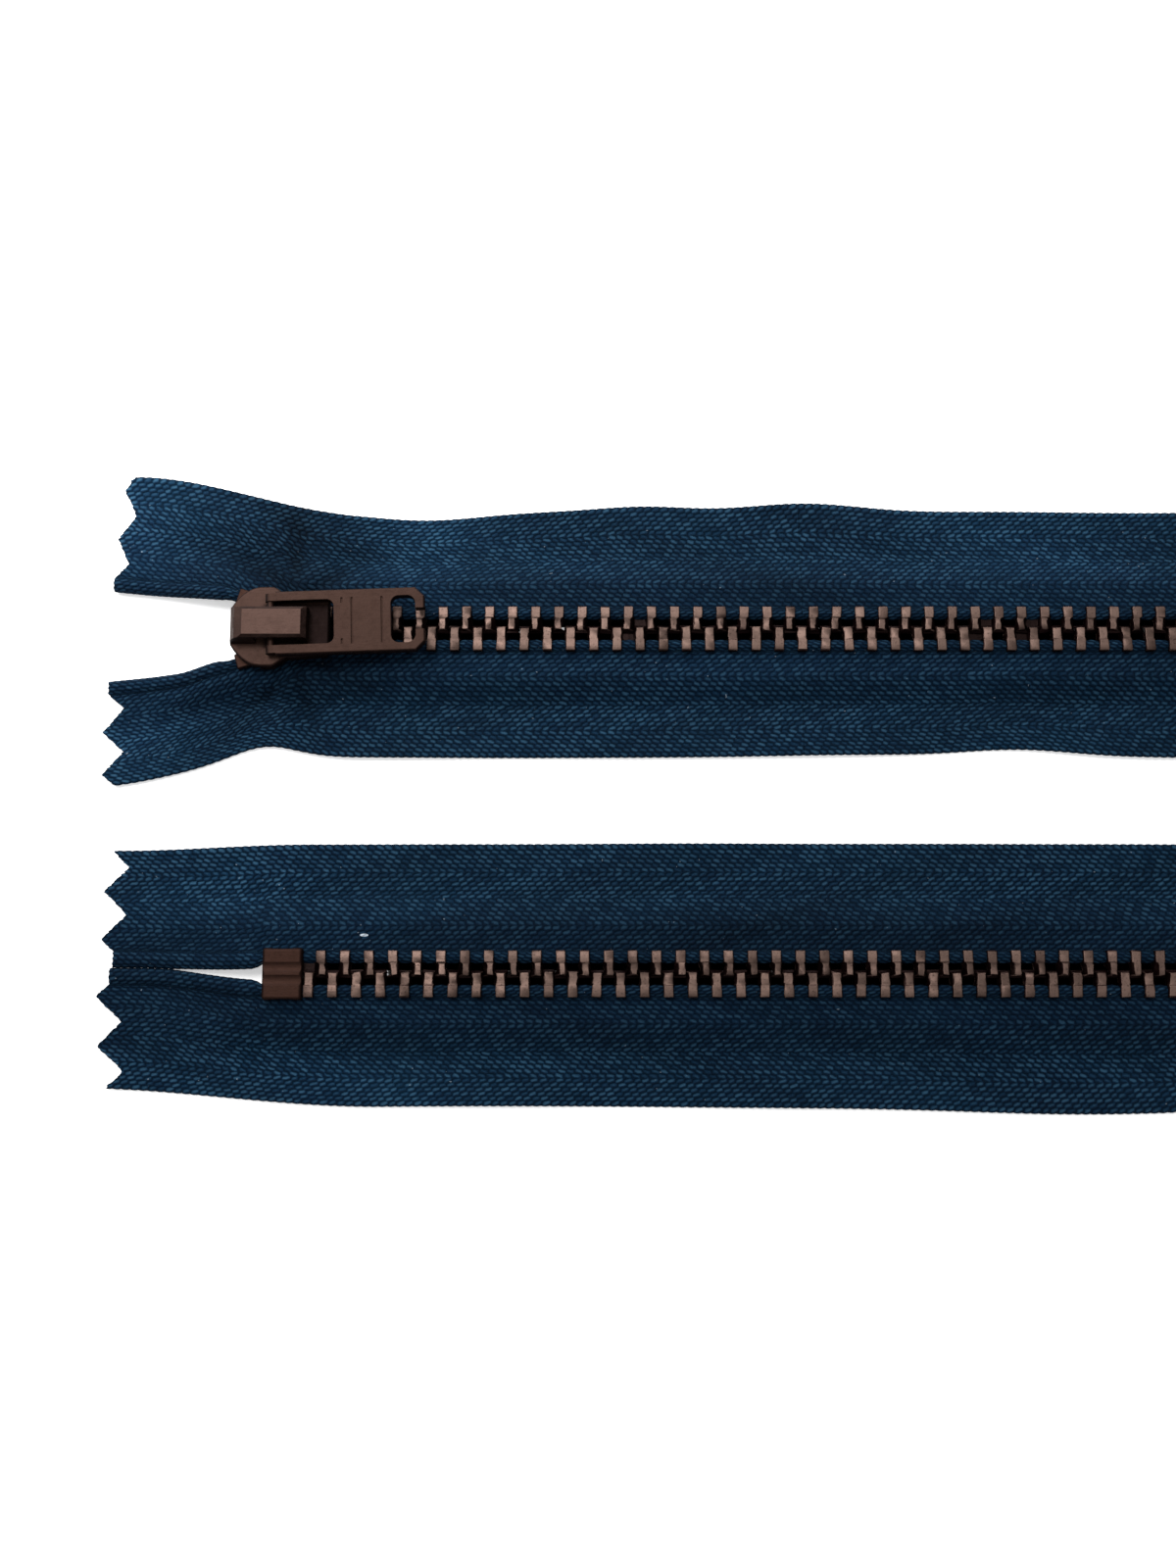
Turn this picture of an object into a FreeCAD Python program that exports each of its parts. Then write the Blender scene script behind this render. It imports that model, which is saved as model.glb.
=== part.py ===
"""A metal zipper, closed at its lower end, lying in a long U on a flat surface.

Millimetres. +Z is up and the surface is z = 0. The upper run goes along +X with
the slider near its start, the zipper then rolls onto its edge, turns back on
itself and rolls flat again, and the lower run comes back along -X to the bottom
stop. Both runs lie face up. "Left" is the tape on the left hand of somebody who
follows the chain from the top end to the bottom end.
"""
import FreeCAD, Part
import math
import os

V = FreeCAD.Vector

# ---- the lay of the zipper -------------------------------------------------
RUN_GAP = 41.5            # between the centrelines of the two runs
TOP_END_X = -57.9         # cut end of the tape beside the slider
BOTTOM_END_X = -56.2      # cut end of the tape beyond the bottom stop
FLAT_END_X = 80.0         # where the runs start to roll onto their edge
ROLL_RUN = 66.2           # plan length of the rolling stretch

# ---- tape and bead ----------------------------------------------------------
TAPE_THICK = 0.5
TAPE_REACH = 13.35        # from the bead's centre to the outer edge of the tape
BEAD_R = 0.65
BEAD_OFFSET = 1.95        # bead centre to chain centreline where the rows mesh
BEAD_GAP = 0.01           # between the bead and the edge of the tape
SHELF_MARGIN = 0.3        # level tape beside the bead, at least
SAME_PLACE = 0.01         # places closer than this are one place
SHELF_END = 5.6           # the tape stays level this far out from the chain
SLOPE_RUN = 3.4           # then comes down to the surface over this width
PINK_PITCH = 6.1          # zigzag cut of the tape ends
PINK_DEPTH = 2.5
PINK_START = 0.4          # of the first cut, from the bead
PINK_PAST = 0.6           # the scissors' cut reaches past the edge

# ---- teeth ------------------------------------------------------------------
PITCH = 2.8
FIRST_TOOTH_X = -34.3     # a tooth of the left row, the right row is half a pitch on
TOOTH_THICK = 1.15        # along the chain
TOOTH_HALF_HEIGHT = 1.1
HEAD_HALF_HEIGHT = 0.93
HEAD_REACH = 2.4          # from the bead's centre to the tip of the head
LEG_REACH = 0.8           # from the bead's centre to the end of the legs
TOOTH_CHAMFER = 0.22
FIT_GAP = 0.09            # round the bead and the tape
NUB_LENGTH = 0.36
NUB_R = 0.42
NUB_TIP_R = 0.24
DIMPLE_R = 0.54
DIMPLE_FLOOR_R = 0.36
DIMPLE_DEPTH = 0.3

# ---- slider -----------------------------------------------------------------
PLATE_THICK = 0.75
PLATE_GAP = 0.12          # between the plates and the teeth
CHAIN_Z = PLATE_THICK + PLATE_GAP + TOOTH_HALF_HEIGHT
NOSE_X = -43.0
SLIDER_LENGTH = 11.9
SLIDER_HALF_WIDTH = 4.95
THROAT_HALF_WIDTH = 3.5
SHOULDER = [(0.0, 2.3), (0.45, 3.0), (1.1, 3.75), (1.95, 4.42), (2.95, 4.84)]
SHOULDER_END = 4.9        # the wings come in quickly from here
WING_END = 7.1
WING_END_HALF_WIDTH = 3.85
RIM_ROUNDING = 0.28
FLANGE_FRONT = 3.6        # the side walls start here, from the nose
FLANGE_THICK = 0.42
FLANGE_STOPS_SHORT = 0.4  # of the plate's rear end
FLANGE_INSET = 0.02       # from the plate's edge
TAPER_START = 4.0         # the plate's long sides: spacing of the points on the curve
TAPER_STEP = 0.55
TAPER_COUNT = 14
REAR_CORNER = 0.5
FLANGE_SLOT = 0.45        # half the height left free for the tape
POST_FRONT = 0.4          # the post, from the nose
POST_WIDEST = 1.1
POST_WIDEST_END = 2.9
POST_REAR = 4.3
POST_HALF_WIDTH = 1.0
SPREAD = 1.6              # outward shift of each row beside the post
MESH_X = -34.1            # the rows are fully meshed from here on
SPREAD_RUN = 5.0
MOUTH_X = -39.9           # the beads go further apart from here to the nose
MOUTH_SPREAD = 1.0
MOUTH_RUN = 4.4
SPLAY = 1.5               # and on to the cut ends
PLATE_TOP = CHAIN_Z + TOOTH_HALF_HEIGHT + PLATE_GAP + PLATE_THICK + 0.05
CAP_TOP = PLATE_TOP + 2.2
CAP_ROOF = 0.5
CAP_ROUNDING = 0.15
CAP_FRONT_X = -42.9
CAP_REAR_X = -33.6
CAP_BASE_HALF = 2.2
CAP_TOP_HALF = 1.65
CAP_BEVEL = 0.25
TUNNEL_FRONT_X = -39.9
TUNNEL_REAR_X = -34.7
SPRING_POCKET = 2.2       # the hollow ahead of the tunnel that holds the spring
SPRING_THICK = 0.25
SPRING_WIDTH = 1.0
SPRING_PLAY = 0.2         # round the spring in its pocket
SPRING_LIFT = 0.05        # of the spring over the puller's bar
PRONG_CLEARANCE = 0.06    # between the prong's tip and the teeth
PRONG_ROOT_Z = PLATE_TOP - 0.2
PRONG_FRONT = [(-0.05, None), (0.0, PRONG_ROOT_Z)]     # None: level with the strip
PRONG_TIP = [0.1, 0.4]
PRONG_REAR = [(0.6, PRONG_ROOT_Z), (0.35, None)]
PRONG_X = 2.25            # the prong goes down here, from the pivot

# ---- puller -----------------------------------------------------------------
PIVOT_X = -37.95
PIVOT_Z = PLATE_TOP + 0.74
PIVOT_R = 0.5
PULLER_YAW = 2.0          # degrees, the way it happens to lie
PULLER_HALF_THICK = 0.65
PULLER_HALF_WIDTH = 3.9
PULLER_END = 18.45        # from the pivot to the free end
PULLER_CHAMFER = 1.1      # off the outer corners of the free end
PULLER_ROUNDING = 0.22
WINDOW_HALF_WIDTH = 2.72
WINDOW_END = 7.6
WINDOW_CORNER = 0.9
HOLE_START = 14.4
HOLE_END = 17.35
HOLE_HALF_WIDTH = 2.9
HOLE_CORNER = 1.0
NOTCH_HALF_WIDTH = 1.3
SHARP_CORNER = 0.01
NOTCH_CORNER = 0.3
GROOVES = (9.65, 13.25)   # engraved across the panel, from the pivot
GROOVE_WIDTH = 0.22
GROOVE_DEPTH = 0.16
GROOVE_HALF_LENGTH = 2.85
TICK_X = 8.45             # and a short one near each edge
TICK_INNER = 2.2

# ---- stops ------------------------------------------------------------------
STOP_FRONT_X = -38.0      # on the lower run
STOP_REAR_X = -33.3
STOP_HALF_WIDTH = 3.05
STOP_HALF_HEIGHT = 1.3
STOP_ROUNDING = 0.42
WAIST_R = 14.0            # hollows the long sides of the bottom stop
WAIST_DEPTH = 0.15
CREASE_R = 1.6
CREASE_DEPTH = 0.12
CREASE_Y = 0.75
STOP_FIT = 0.04
TOP_STOP_INNER = 0.95     # from the bead's centre
TOP_STOP_OUTER = 0.95
TOP_STOP_HALF_HEIGHT = 1.0
TOP_STOP_ROUNDING = 0.2
TOP_STOP_FRONT_X = -42.5
TOP_STOP_REAR_X = -40.3

# ---- where the tapes flex, along the chain -----------------------------------
FLEX_TOP = 5.0
FLEX_MIDDLE = 48.2
FLEX_LOW = 53.7           # the rows part here when the slider is at its limit

SIDES = {"left": 1, "right": -1}
HALF_GAP = RUN_GAP / 2
TAPE_EDGE = BEAD_OFFSET + TAPE_REACH
TOP_EDGE = TAPE_EDGE + SPREAD + MOUTH_SPREAD + SPLAY
SINK = CHAIN_Z - TAPE_THICK / 2
TURN = math.pi * HALF_GAP
PLAN_LENGTH = 2 * (FLAT_END_X + ROLL_RUN) + TURN
STEP = 0.5

# the lay is moved so that its outer box is centred over the origin
SHIFT_X = -(TOP_END_X + FLAT_END_X + ROLL_RUN + HALF_GAP + TOOTH_HALF_HEIGHT) / 2
SHIFT_Y = (TAPE_EDGE - TOP_EDGE) / 2


def smooth(t):
    """0 to 1 with level ends."""
    t = min(1.0, max(0.0, t))
    return t * t * (3 - 2 * t)


# ---- the centreline ----------------------------------------------------------
def plan(q):
    """Plan position, outward direction and roll (radians) at plan length q."""
    roll = math.pi / 2
    if q <= FLAT_END_X + ROLL_RUN:
        roll *= smooth((q - FLAT_END_X) / ROLL_RUN)
        return V(q, HALF_GAP, 0), V(0, 1, 0), roll
    q -= FLAT_END_X + ROLL_RUN
    if q <= TURN:
        out = V(math.sin(q / HALF_GAP), math.cos(q / HALF_GAP), 0)
        return V(FLAT_END_X + ROLL_RUN, 0, 0) + out * HALF_GAP, out, roll
    q -= TURN
    roll *= smooth(1 - q / ROLL_RUN)
    return V(FLAT_END_X + ROLL_RUN - q, -HALF_GAP, 0), V(0, -1, 0), roll


def centre(q):
    """The middle of the chain; the lower tape edge stays on the surface."""
    place, _, roll = plan(q)
    drop = SINK * (1 - 2 * roll / math.pi) + TAPE_THICK / 2
    return place + V(0, 0, TAPE_EDGE * math.sin(roll) + drop * math.cos(roll))


def measured_path():
    """Chain length at every STEP of plan length; 0 where the upper run has x = 0."""
    lengths = [0.0]
    count = int(PLAN_LENGTH / STEP) + 1
    for k in range(count):
        piece = centre((k + 1) * STEP) - centre(k * STEP)
        lengths.append(lengths[-1] + piece.Length)
    return lengths


PATH = measured_path()


def plan_length(s):
    """Plan length for chain length s; the two agree where the zipper is flat."""
    if s <= 0:
        return s
    if s >= PATH[-1]:
        return (len(PATH) - 1) * STEP + s - PATH[-1]
    low = 0
    high = len(PATH) - 1
    while high - low > 1:
        middle = (low + high) // 2
        if PATH[middle] <= s:
            low = middle
        else:
            high = middle
    return (low + (s - PATH[low]) / (PATH[high] - PATH[low])) * STEP


def chain_length(q):
    """Chain length at plan length q, a multiple of STEP or beyond the roll."""
    k = min(int(round(q / STEP)), len(PATH) - 1)
    return PATH[k] + q - k * STEP


def frame(s):
    """Centre, direction along the chain, left and face normal at length s."""
    q = plan_length(s)
    along = centre(q + 0.05) - centre(q - 0.05)
    along.normalize()
    _, out, roll = plan(q)
    face = V(0, 0, math.cos(roll)) + out * math.sin(roll)
    left = face.cross(along)
    left.normalize()
    return centre(q), along, left, along.cross(left)


ROLL_START = FLAT_END_X
TURN_START = chain_length(FLAT_END_X + ROLL_RUN)
TURN_MIDDLE = TURN_START + TURN / 2
TURN_END = TURN_START + TURN
ROLL_END = TURN_END + TURN_START - ROLL_START
BOTTOM_END = ROLL_END + FLAT_END_X - BOTTOM_END_X
STOP_START = ROLL_END + FLAT_END_X - STOP_REAR_X
STOP_FINISH = ROLL_END + FLAT_END_X - STOP_FRONT_X


# ---- where each bead runs ------------------------------------------------------
def bead_offset(s):
    """Distance of the bead's centre from the centreline."""
    beside_post = SPREAD * smooth((MESH_X - s) / SPREAD_RUN)
    at_mouth = MOUTH_SPREAD * smooth((MOUTH_X - s) / MOUTH_RUN)
    splay = SPLAY * max(0.0, (NOSE_X - s) / (NOSE_X - TOP_END_X))
    closing = (BEAD_OFFSET - BEAD_R - 0.03) * smooth((s - STOP_FINISH) / 11.0)
    return BEAD_OFFSET + beside_post + at_mouth + splay - closing


def bead_sink(s):
    """How far the bead has come down towards the surface at the cut ends."""
    at_top = smooth((NOSE_X - 0.5 - s) / 11.0)
    at_bottom = smooth((s - STOP_FINISH - 0.5) / 11.0)
    return (SINK - 0.45) * max(at_top, at_bottom)


def flatness(s):
    """1 on the flat runs, 0 where the zipper stands on its edge."""
    roll = plan(plan_length(s))[2]
    return 1 - 2 * roll / math.pi


def at(s, u, v):
    """The point u to the left and v above the centre of the chain at length s."""
    place, _, left, face = frame(s)
    return place + left * u + face * v + V(SHIFT_X, SHIFT_Y, 0)


# ---- tapes and beads -----------------------------------------------------------
def tape_section(s, side):
    """Cross-section of one tape: level, then down a slope to the surface."""
    bead = bead_offset(s)
    start = -bead_sink(s)
    inner = bead + BEAD_R + BEAD_GAP
    shelf = max(SHELF_END, inner + SHELF_MARGIN)
    outer = bead + TAPE_REACH
    bottom = -SINK * flatness(s)
    line = [(inner, start)]
    for k in range(5):
        u = shelf + SLOPE_RUN * k / 4
        line.append((u, start + (bottom - start) * smooth(k / 4)))
    line.append((outer, bottom))
    half = TAPE_THICK / 2
    upper = [at(s, side * u, v + half) for u, v in line]
    lower = [at(s, side * u, v - half) for u, v in line]
    points = upper + lower[::-1]
    return Part.makePolygon(points + points[:1])


def bead_section(s, side):
    along = frame(s)[1]
    middle = at(s, side * bead_offset(s), -bead_sink(s))
    return Part.Wire([Part.makeCircle(BEAD_R, middle, along)])


def sections_between(start, end):
    """Closely spaced where the zipper bends, two where it is straight."""
    bends = [(TOP_END_X, MESH_X + 0.8, 1.6), (ROLL_START, ROLL_END, 2.2),
             (STOP_FINISH, BOTTOM_END, 2.2)]
    places = {start, end}
    for low, high, spacing in bends:
        low = max(low, start)
        high = min(high, end)
        if high - low < SAME_PLACE:
            continue
        count = max(1, round((high - low) / spacing))
        for k in range(count + 1):
            places.add(low + (high - low) * k / count)
    ordered = sorted(places)
    return [s for k, s in enumerate(ordered) if k == 0 or s - ordered[k - 1] > SAME_PLACE]


def pinking(s_end, inward, side):
    """The triangles that the zigzag scissors take from the end of one tape."""
    cuts = []
    first = bead_offset(s_end) + BEAD_R + PINK_START
    count = int(TAPE_REACH / PINK_PITCH) + 1
    for k in range(count):
        near = first + k * PINK_PITCH
        outside = -PINK_PAST * inward
        corners = [(outside, near - PINK_PAST), (outside, near + PINK_PITCH + PINK_PAST),
                   (PINK_DEPTH * inward, near + PINK_PITCH / 2)]
        points = [at(s_end, side * u, 0) + frame(s_end)[1] * a for a, u in corners]
        points = [V(p.x, p.y, -1) for p in points]
        face = Part.Face(Part.makePolygon(points + points[:1]))
        cuts.append(face.extrude(V(0, 0, 8)))
    return Part.makeCompound(cuts)


def make_tape(start, end, side):
    wires = [tape_section(s, side) for s in sections_between(start, end)]
    tape = Part.makeLoft(wires, True, True)
    if start == TOP_END_X:
        tape = tape.cut(pinking(start, 1, side))
    if end == BOTTOM_END:
        tape = tape.cut(pinking(end, -1, side))
    return tape


def make_bead(start, end, side):
    wires = [bead_section(s, side) for s in sections_between(start, end)]
    return Part.makeLoft(wires, True, True)


# ---- teeth ---------------------------------------------------------------------
def make_tooth():
    """One tooth: x along the chain, y outward from the bead's centre, z across."""
    half = TOOTH_THICK / 2
    cut = TOOTH_CHAMFER
    slot = TAPE_THICK / 2 + FIT_GAP
    upper = [(-HEAD_REACH, HEAD_HALF_HEIGHT - 2 * cut), (cut - HEAD_REACH, HEAD_HALF_HEIGHT),
             (-1.0, HEAD_HALF_HEIGHT), (-0.7, TOOTH_HALF_HEIGHT),
             (LEG_REACH - cut, TOOTH_HALF_HEIGHT), (LEG_REACH, TOOTH_HALF_HEIGHT - cut)]
    side = upper + [(LEG_REACH, slot), (0, slot), (0, -slot), (LEG_REACH, -slot)]
    side += [(y, -z) for y, z in upper[::-1]]
    points = [V(-half, y, z) for y, z in side]
    body = Part.Face(Part.makePolygon(points + points[:1])).extrude(V(2 * half, 0, 0))
    outline = [(cut - half, -HEAD_REACH), (half - cut, -HEAD_REACH), (half, cut - HEAD_REACH),
               (half, LEG_REACH - cut), (half - cut, LEG_REACH), (cut - half, LEG_REACH),
               (-half, LEG_REACH - cut), (-half, cut - HEAD_REACH)]
    points = [V(x, y, -TOOTH_HALF_HEIGHT) for x, y in outline]
    plan_view = Part.Face(Part.makePolygon(points + points[:1]))
    body = body.common(plan_view.extrude(V(0, 0, 2 * TOOTH_HALF_HEIGHT)))
    hole = Part.makeCylinder(BEAD_R + FIT_GAP, 2 * half, V(-half, 0, 0), V(1, 0, 0))
    dimple = Part.makeCone(DIMPLE_R, DIMPLE_FLOOR_R, DIMPLE_DEPTH,
                           V(half, -BEAD_OFFSET, 0), V(-1, 0, 0))
    nub = Part.makeCone(NUB_R, NUB_TIP_R, NUB_LENGTH, V(-half, -BEAD_OFFSET, 0), V(-1, 0, 0))
    return body.cut(hole).cut(dimple).fuse(nub).removeSplitter()


TOOTH = make_tooth()


def placed(shape, s, side):
    """A copy of the shape with its bead's centre on the row at length s."""
    _, along, left, face = frame(s)
    slope = (bead_offset(s + 0.05) - bead_offset(s - 0.05)) / 0.1
    x = along + left * (side * slope)
    x.normalize()
    y = face.cross(x) * side
    z = x.cross(y)
    p = at(s, side * bead_offset(s), -bead_sink(s))
    matrix = FreeCAD.Matrix(x.x, y.x, z.x, p.x, x.y, y.y, z.y, p.y, x.z, y.z, z.z, p.z, 0, 0, 0, 1)
    copy = shape.copy()
    copy.Placement = FreeCAD.Placement(matrix)
    return copy


def row_places(side):
    """Lengths at which one row has its teeth, half a pitch apart left to right."""
    first = FIRST_TOOTH_X + (0 if side > 0 else PITCH / 2)
    places = [first]
    s = first
    while True:
        slope = (bead_offset(s - PITCH) - bead_offset(s)) / PITCH
        s -= PITCH / math.sqrt(1 + slope * slope)
        if s < TOP_STOP_REAR_X + TOOTH_THICK:
            break
        places.insert(0, s)
    s = first + PITCH
    while s < STOP_START - TOOTH_THICK / 2 - FIT_GAP:
        places.append(s)
        s += PITCH
    return places


def make_row(start, end, side):
    teeth = [placed(TOOTH, s, side) for s in row_places(side) if start <= s < end]
    return Part.makeCompound(teeth)


# ---- stops ---------------------------------------------------------------------
def rounded_block(x0, x1, y0, y1, z0, z1, radius):
    block = Part.makeBox(x1 - x0, y1 - y0, z1 - z0, V(x0, y0, z0))
    return block.makeFillet(radius, block.Edges)


def make_top_stop(side):
    """A folded clip on the bead of one tape, half hidden by the slider's nose."""
    half = (TOP_STOP_REAR_X - TOP_STOP_FRONT_X) / 2
    height = TOP_STOP_HALF_HEIGHT
    clip = rounded_block(-half, half, -TOP_STOP_INNER, TOP_STOP_OUTER, -height, height,
                         TOP_STOP_ROUNDING)
    clip = clip.cut(Part.makeCylinder(BEAD_R + FIT_GAP, 4 * half, V(-2 * half, 0, 0), V(1, 0, 0)))
    slot = TAPE_THICK / 2 + FIT_GAP
    clip = clip.cut(Part.makeBox(4 * half, 2 * TOP_STOP_OUTER, 2 * slot, V(-2 * half, 0, -slot)))
    return placed(clip, (TOP_STOP_REAR_X + TOP_STOP_FRONT_X) / 2, side)


def make_bottom_stop():
    """A staple folded over both beads, waisted, with two soft creases."""
    length = STOP_REAR_X - STOP_FRONT_X
    half = length / 2
    width = STOP_HALF_WIDTH
    height = STOP_HALF_HEIGHT
    along = V(1, 0, 0)
    slot = TAPE_THICK / 2 + STOP_FIT
    stop = rounded_block(-half, half, -width, width, -height, height, STOP_ROUNDING)
    for sign in SIDES.values():
        waist_y = sign * (width + WAIST_R - WAIST_DEPTH)
        stop = stop.cut(Part.makeCylinder(WAIST_R, 2 * height, V(0, waist_y, -height)))
        crease_z = height + CREASE_R - CREASE_DEPTH
        stop = stop.cut(Part.makeCylinder(CREASE_R, length, V(-half, sign * CREASE_Y, crease_z), along))
        bead_y = sign * BEAD_OFFSET
        stop = stop.cut(Part.makeCylinder(BEAD_R + STOP_FIT, length, V(-half, bead_y, 0), along))
        low = min(bead_y, bead_y + sign * width)
        stop = stop.cut(Part.makeBox(length, width, 2 * slot, V(-half, low, -slot)))
    centre_x = (STOP_FRONT_X + STOP_REAR_X) / 2
    stop.translate(V(centre_x + SHIFT_X, -HALF_GAP + SHIFT_Y, CHAIN_Z))
    return stop


# ---- slider --------------------------------------------------------------------
def on_chain(shape):
    """Moves a shape from its own plan, with y = 0 on the chain, to the upper run."""
    shape.translate(V(SHIFT_X, HALF_GAP + SHIFT_Y, 0))
    return shape


def plate_half_width(x):
    """Outer half-width of the slider at a distance from its nose."""
    wing = smooth((x - SHOULDER_END) / (WING_END - SHOULDER_END))
    taper = smooth((x - WING_END) / (SLIDER_LENGTH - WING_END))
    width = SLIDER_HALF_WIDTH + (WING_END_HALF_WIDTH - SLIDER_HALF_WIDTH) * wing
    return width + (THROAT_HALF_WIDTH - WING_END_HALF_WIDTH) * taper


def plate_outline():
    """Right half of the plan, nose to rear: a round shoulder, then a taper."""
    places = [TAPER_START + k * TAPER_STEP for k in range(TAPER_COUNT)]
    points = SHOULDER + [(x, plate_half_width(x)) for x in places]
    cut = REAR_CORNER
    points.append((SLIDER_LENGTH - cut, THROAT_HALF_WIDTH))
    points.append((SLIDER_LENGTH - 0.3 * cut, THROAT_HALF_WIDTH - 0.3 * cut))
    points.append((SLIDER_LENGTH, THROAT_HALF_WIDTH - cut))
    return points


def closed_face(points, z):
    corners = [V(x, y, z) for x, y in points]
    return Part.Face(Part.makePolygon(corners + corners[:1]))


def smooth_plate(z, thick):
    """One plate of the slider, its long sides as smooth curves."""
    half = plate_outline()
    edges = []
    for sign in (1, -1):
        curve = Part.BSplineCurve()
        curve.interpolate([V(NOSE_X + x, sign * y, z) for x, y in half])
        edges.append(curve.toShape())
    front = Part.makeLine(V(NOSE_X, -half[0][1], z), V(NOSE_X, half[0][1], z))
    rear_x = NOSE_X + half[-1][0]
    rear = Part.makeLine(V(rear_x, half[-1][1], z), V(rear_x, -half[-1][1], z))
    wire = Part.Wire([front, edges[0], rear, edges[1]])
    return Part.Face(wire).extrude(V(0, 0, thick))


def flange(sign, z, height):
    """A side wall of one plate, from the shoulder back to the rear."""
    run = SLIDER_LENGTH - FLANGE_FRONT - FLANGE_STOPS_SHORT
    places = [FLANGE_FRONT + k * run / 16 for k in range(17)]
    outer = [(NOSE_X + x, sign * (plate_half_width(x) - FLANGE_INSET)) for x in places]
    inner = [(NOSE_X + x, sign * (plate_half_width(x) - FLANGE_THICK)) for x in places]
    return closed_face(outer + inner[::-1], z).extrude(V(0, 0, height))


def make_slider_body():
    ceiling = PLATE_TOP - PLATE_THICK - 0.05
    body = smooth_plate(0.0, PLATE_THICK)
    body = body.fuse(smooth_plate(ceiling, PLATE_TOP - ceiling))
    for sign in (1, -1):
        body = body.fuse(flange(sign, PLATE_THICK, CHAIN_Z - FLANGE_SLOT - PLATE_THICK))
        body = body.fuse(flange(sign, CHAIN_Z + FLANGE_SLOT, ceiling - CHAIN_Z - FLANGE_SLOT))
    post = [(POST_FRONT, 0.6), (POST_WIDEST, POST_HALF_WIDTH), (POST_WIDEST_END, POST_HALF_WIDTH),
            (POST_REAR, 0.2)]
    post += [(x, -y) for x, y in post[::-1]]
    post = [(NOSE_X + x, y) for x, y in post]
    body = body.fuse(closed_face(post, PLATE_THICK / 2).extrude(V(0, 0, PLATE_TOP - PLATE_THICK)))
    body = body.removeSplitter()
    rims = [e for e in body.Edges if e.Length > SLIDER_LENGTH / 2 and on_rim(e)]
    body = body.makeFillet(RIM_ROUNDING, rims)
    slot = SPRING_WIDTH + 0.2
    prong_hole = Part.makeBox(1.1, slot, 2, V(PIVOT_X + PRONG_X - 0.25, -slot / 2, PLATE_TOP - 1.4))
    return on_chain(body.cut(prong_hole))


def on_rim(edge):
    """Whether an edge lies all along the outer rim of the top or bottom face."""
    box = edge.BoundBox
    level = box.ZLength < 0.001
    return level and (abs(box.ZMin) < 0.001 or abs(box.ZMin - PLATE_TOP) < 0.001)


def make_cap():
    """The crown: a bridge with sloping sides, open across for the puller's bar."""
    length = CAP_REAR_X - CAP_FRONT_X
    edge = CAP_TOP_HALF + CAP_BEVEL
    flat = CAP_TOP_HALF - CAP_BEVEL / 2
    end_view = [(-CAP_BASE_HALF, PLATE_TOP), (CAP_BASE_HALF, PLATE_TOP), (edge, CAP_TOP - CAP_BEVEL),
                (flat, CAP_TOP), (-flat, CAP_TOP), (-edge, CAP_TOP - CAP_BEVEL)]
    points = [V(CAP_FRONT_X, y, z) for y, z in end_view]
    cap = Part.Face(Part.makePolygon(points + points[:1])).extrude(V(length, 0, 0))
    profile = [(CAP_FRONT_X, PLATE_TOP), (CAP_FRONT_X + 0.1, PLATE_TOP + 0.9),
               (CAP_FRONT_X + 0.7, CAP_TOP - 0.45), (CAP_FRONT_X + 1.7, CAP_TOP),
               (CAP_REAR_X - 0.6, CAP_TOP), (CAP_REAR_X, CAP_TOP - 0.5), (CAP_REAR_X, PLATE_TOP)]
    points = [V(x, -2 * CAP_BASE_HALF, z) for x, z in profile]
    side_view = Part.Face(Part.makePolygon(points + points[:1]))
    cap = cap.common(side_view.extrude(V(0, 4 * CAP_BASE_HALF, 0)))
    ridges = [e for e in cap.Edges
              if e.BoundBox.XLength > length / 2 and e.BoundBox.ZMin > PLATE_TOP + 1]
    cap = cap.makeFillet(CAP_ROUNDING, ridges)
    height = CAP_TOP - CAP_ROOF - PLATE_TOP
    tunnel = Part.makeBox(TUNNEL_REAR_X - TUNNEL_FRONT_X, 4 * CAP_BASE_HALF, height,
                          V(TUNNEL_FRONT_X, -2 * CAP_BASE_HALF, PLATE_TOP))
    floor = PIVOT_Z + PIVOT_R - SPRING_LIFT
    deep = SPRING_POCKET + SPRING_PLAY
    wide = SPRING_WIDTH + 2 * SPRING_PLAY
    pocket = Part.makeBox(deep, wide, PLATE_TOP + height - floor,
                          V(TUNNEL_FRONT_X - deep, -wide / 2, floor))
    return on_chain(cap.cut(tunnel).cut(pocket))


def make_pawl():
    """The spring strip over the puller's bar, with the prong that locks the chain."""
    low = PIVOT_Z + PIVOT_R + SPRING_LIFT
    tip = CHAIN_Z + TOOTH_HALF_HEIGHT + PRONG_CLEARANCE
    front = TUNNEL_FRONT_X - SPRING_POCKET
    prong = PIVOT_X + PRONG_X
    outline = [(front - prong, low)] + [(x, z if z else low) for x, z in PRONG_FRONT]
    outline += [(x, tip) for x in PRONG_TIP] + [(x, z if z else low + SPRING_THICK) for x, z in PRONG_REAR]
    outline += [(front - prong, low + SPRING_THICK)]
    strip = [(prong + x, z) for x, z in outline]
    points = [V(x, -SPRING_WIDTH / 2, z) for x, z in strip]
    return on_chain(Part.Face(Part.makePolygon(points + points[:1])).extrude(V(0, SPRING_WIDTH, 0)))


# ---- puller ----------------------------------------------------------------------
def slab(x0, x1, half_width, corner):
    """A level plate along +X from the pivot, with rounded corners in plan."""
    height = 4 * PULLER_HALF_THICK
    plate = Part.makeBox(x1 - x0, 2 * half_width, height, V(x0, -half_width, -height / 2))
    upright = [e for e in plate.Edges if e.BoundBox.ZLength > height / 2]
    return plate.makeFillet(corner, upright)


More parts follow.
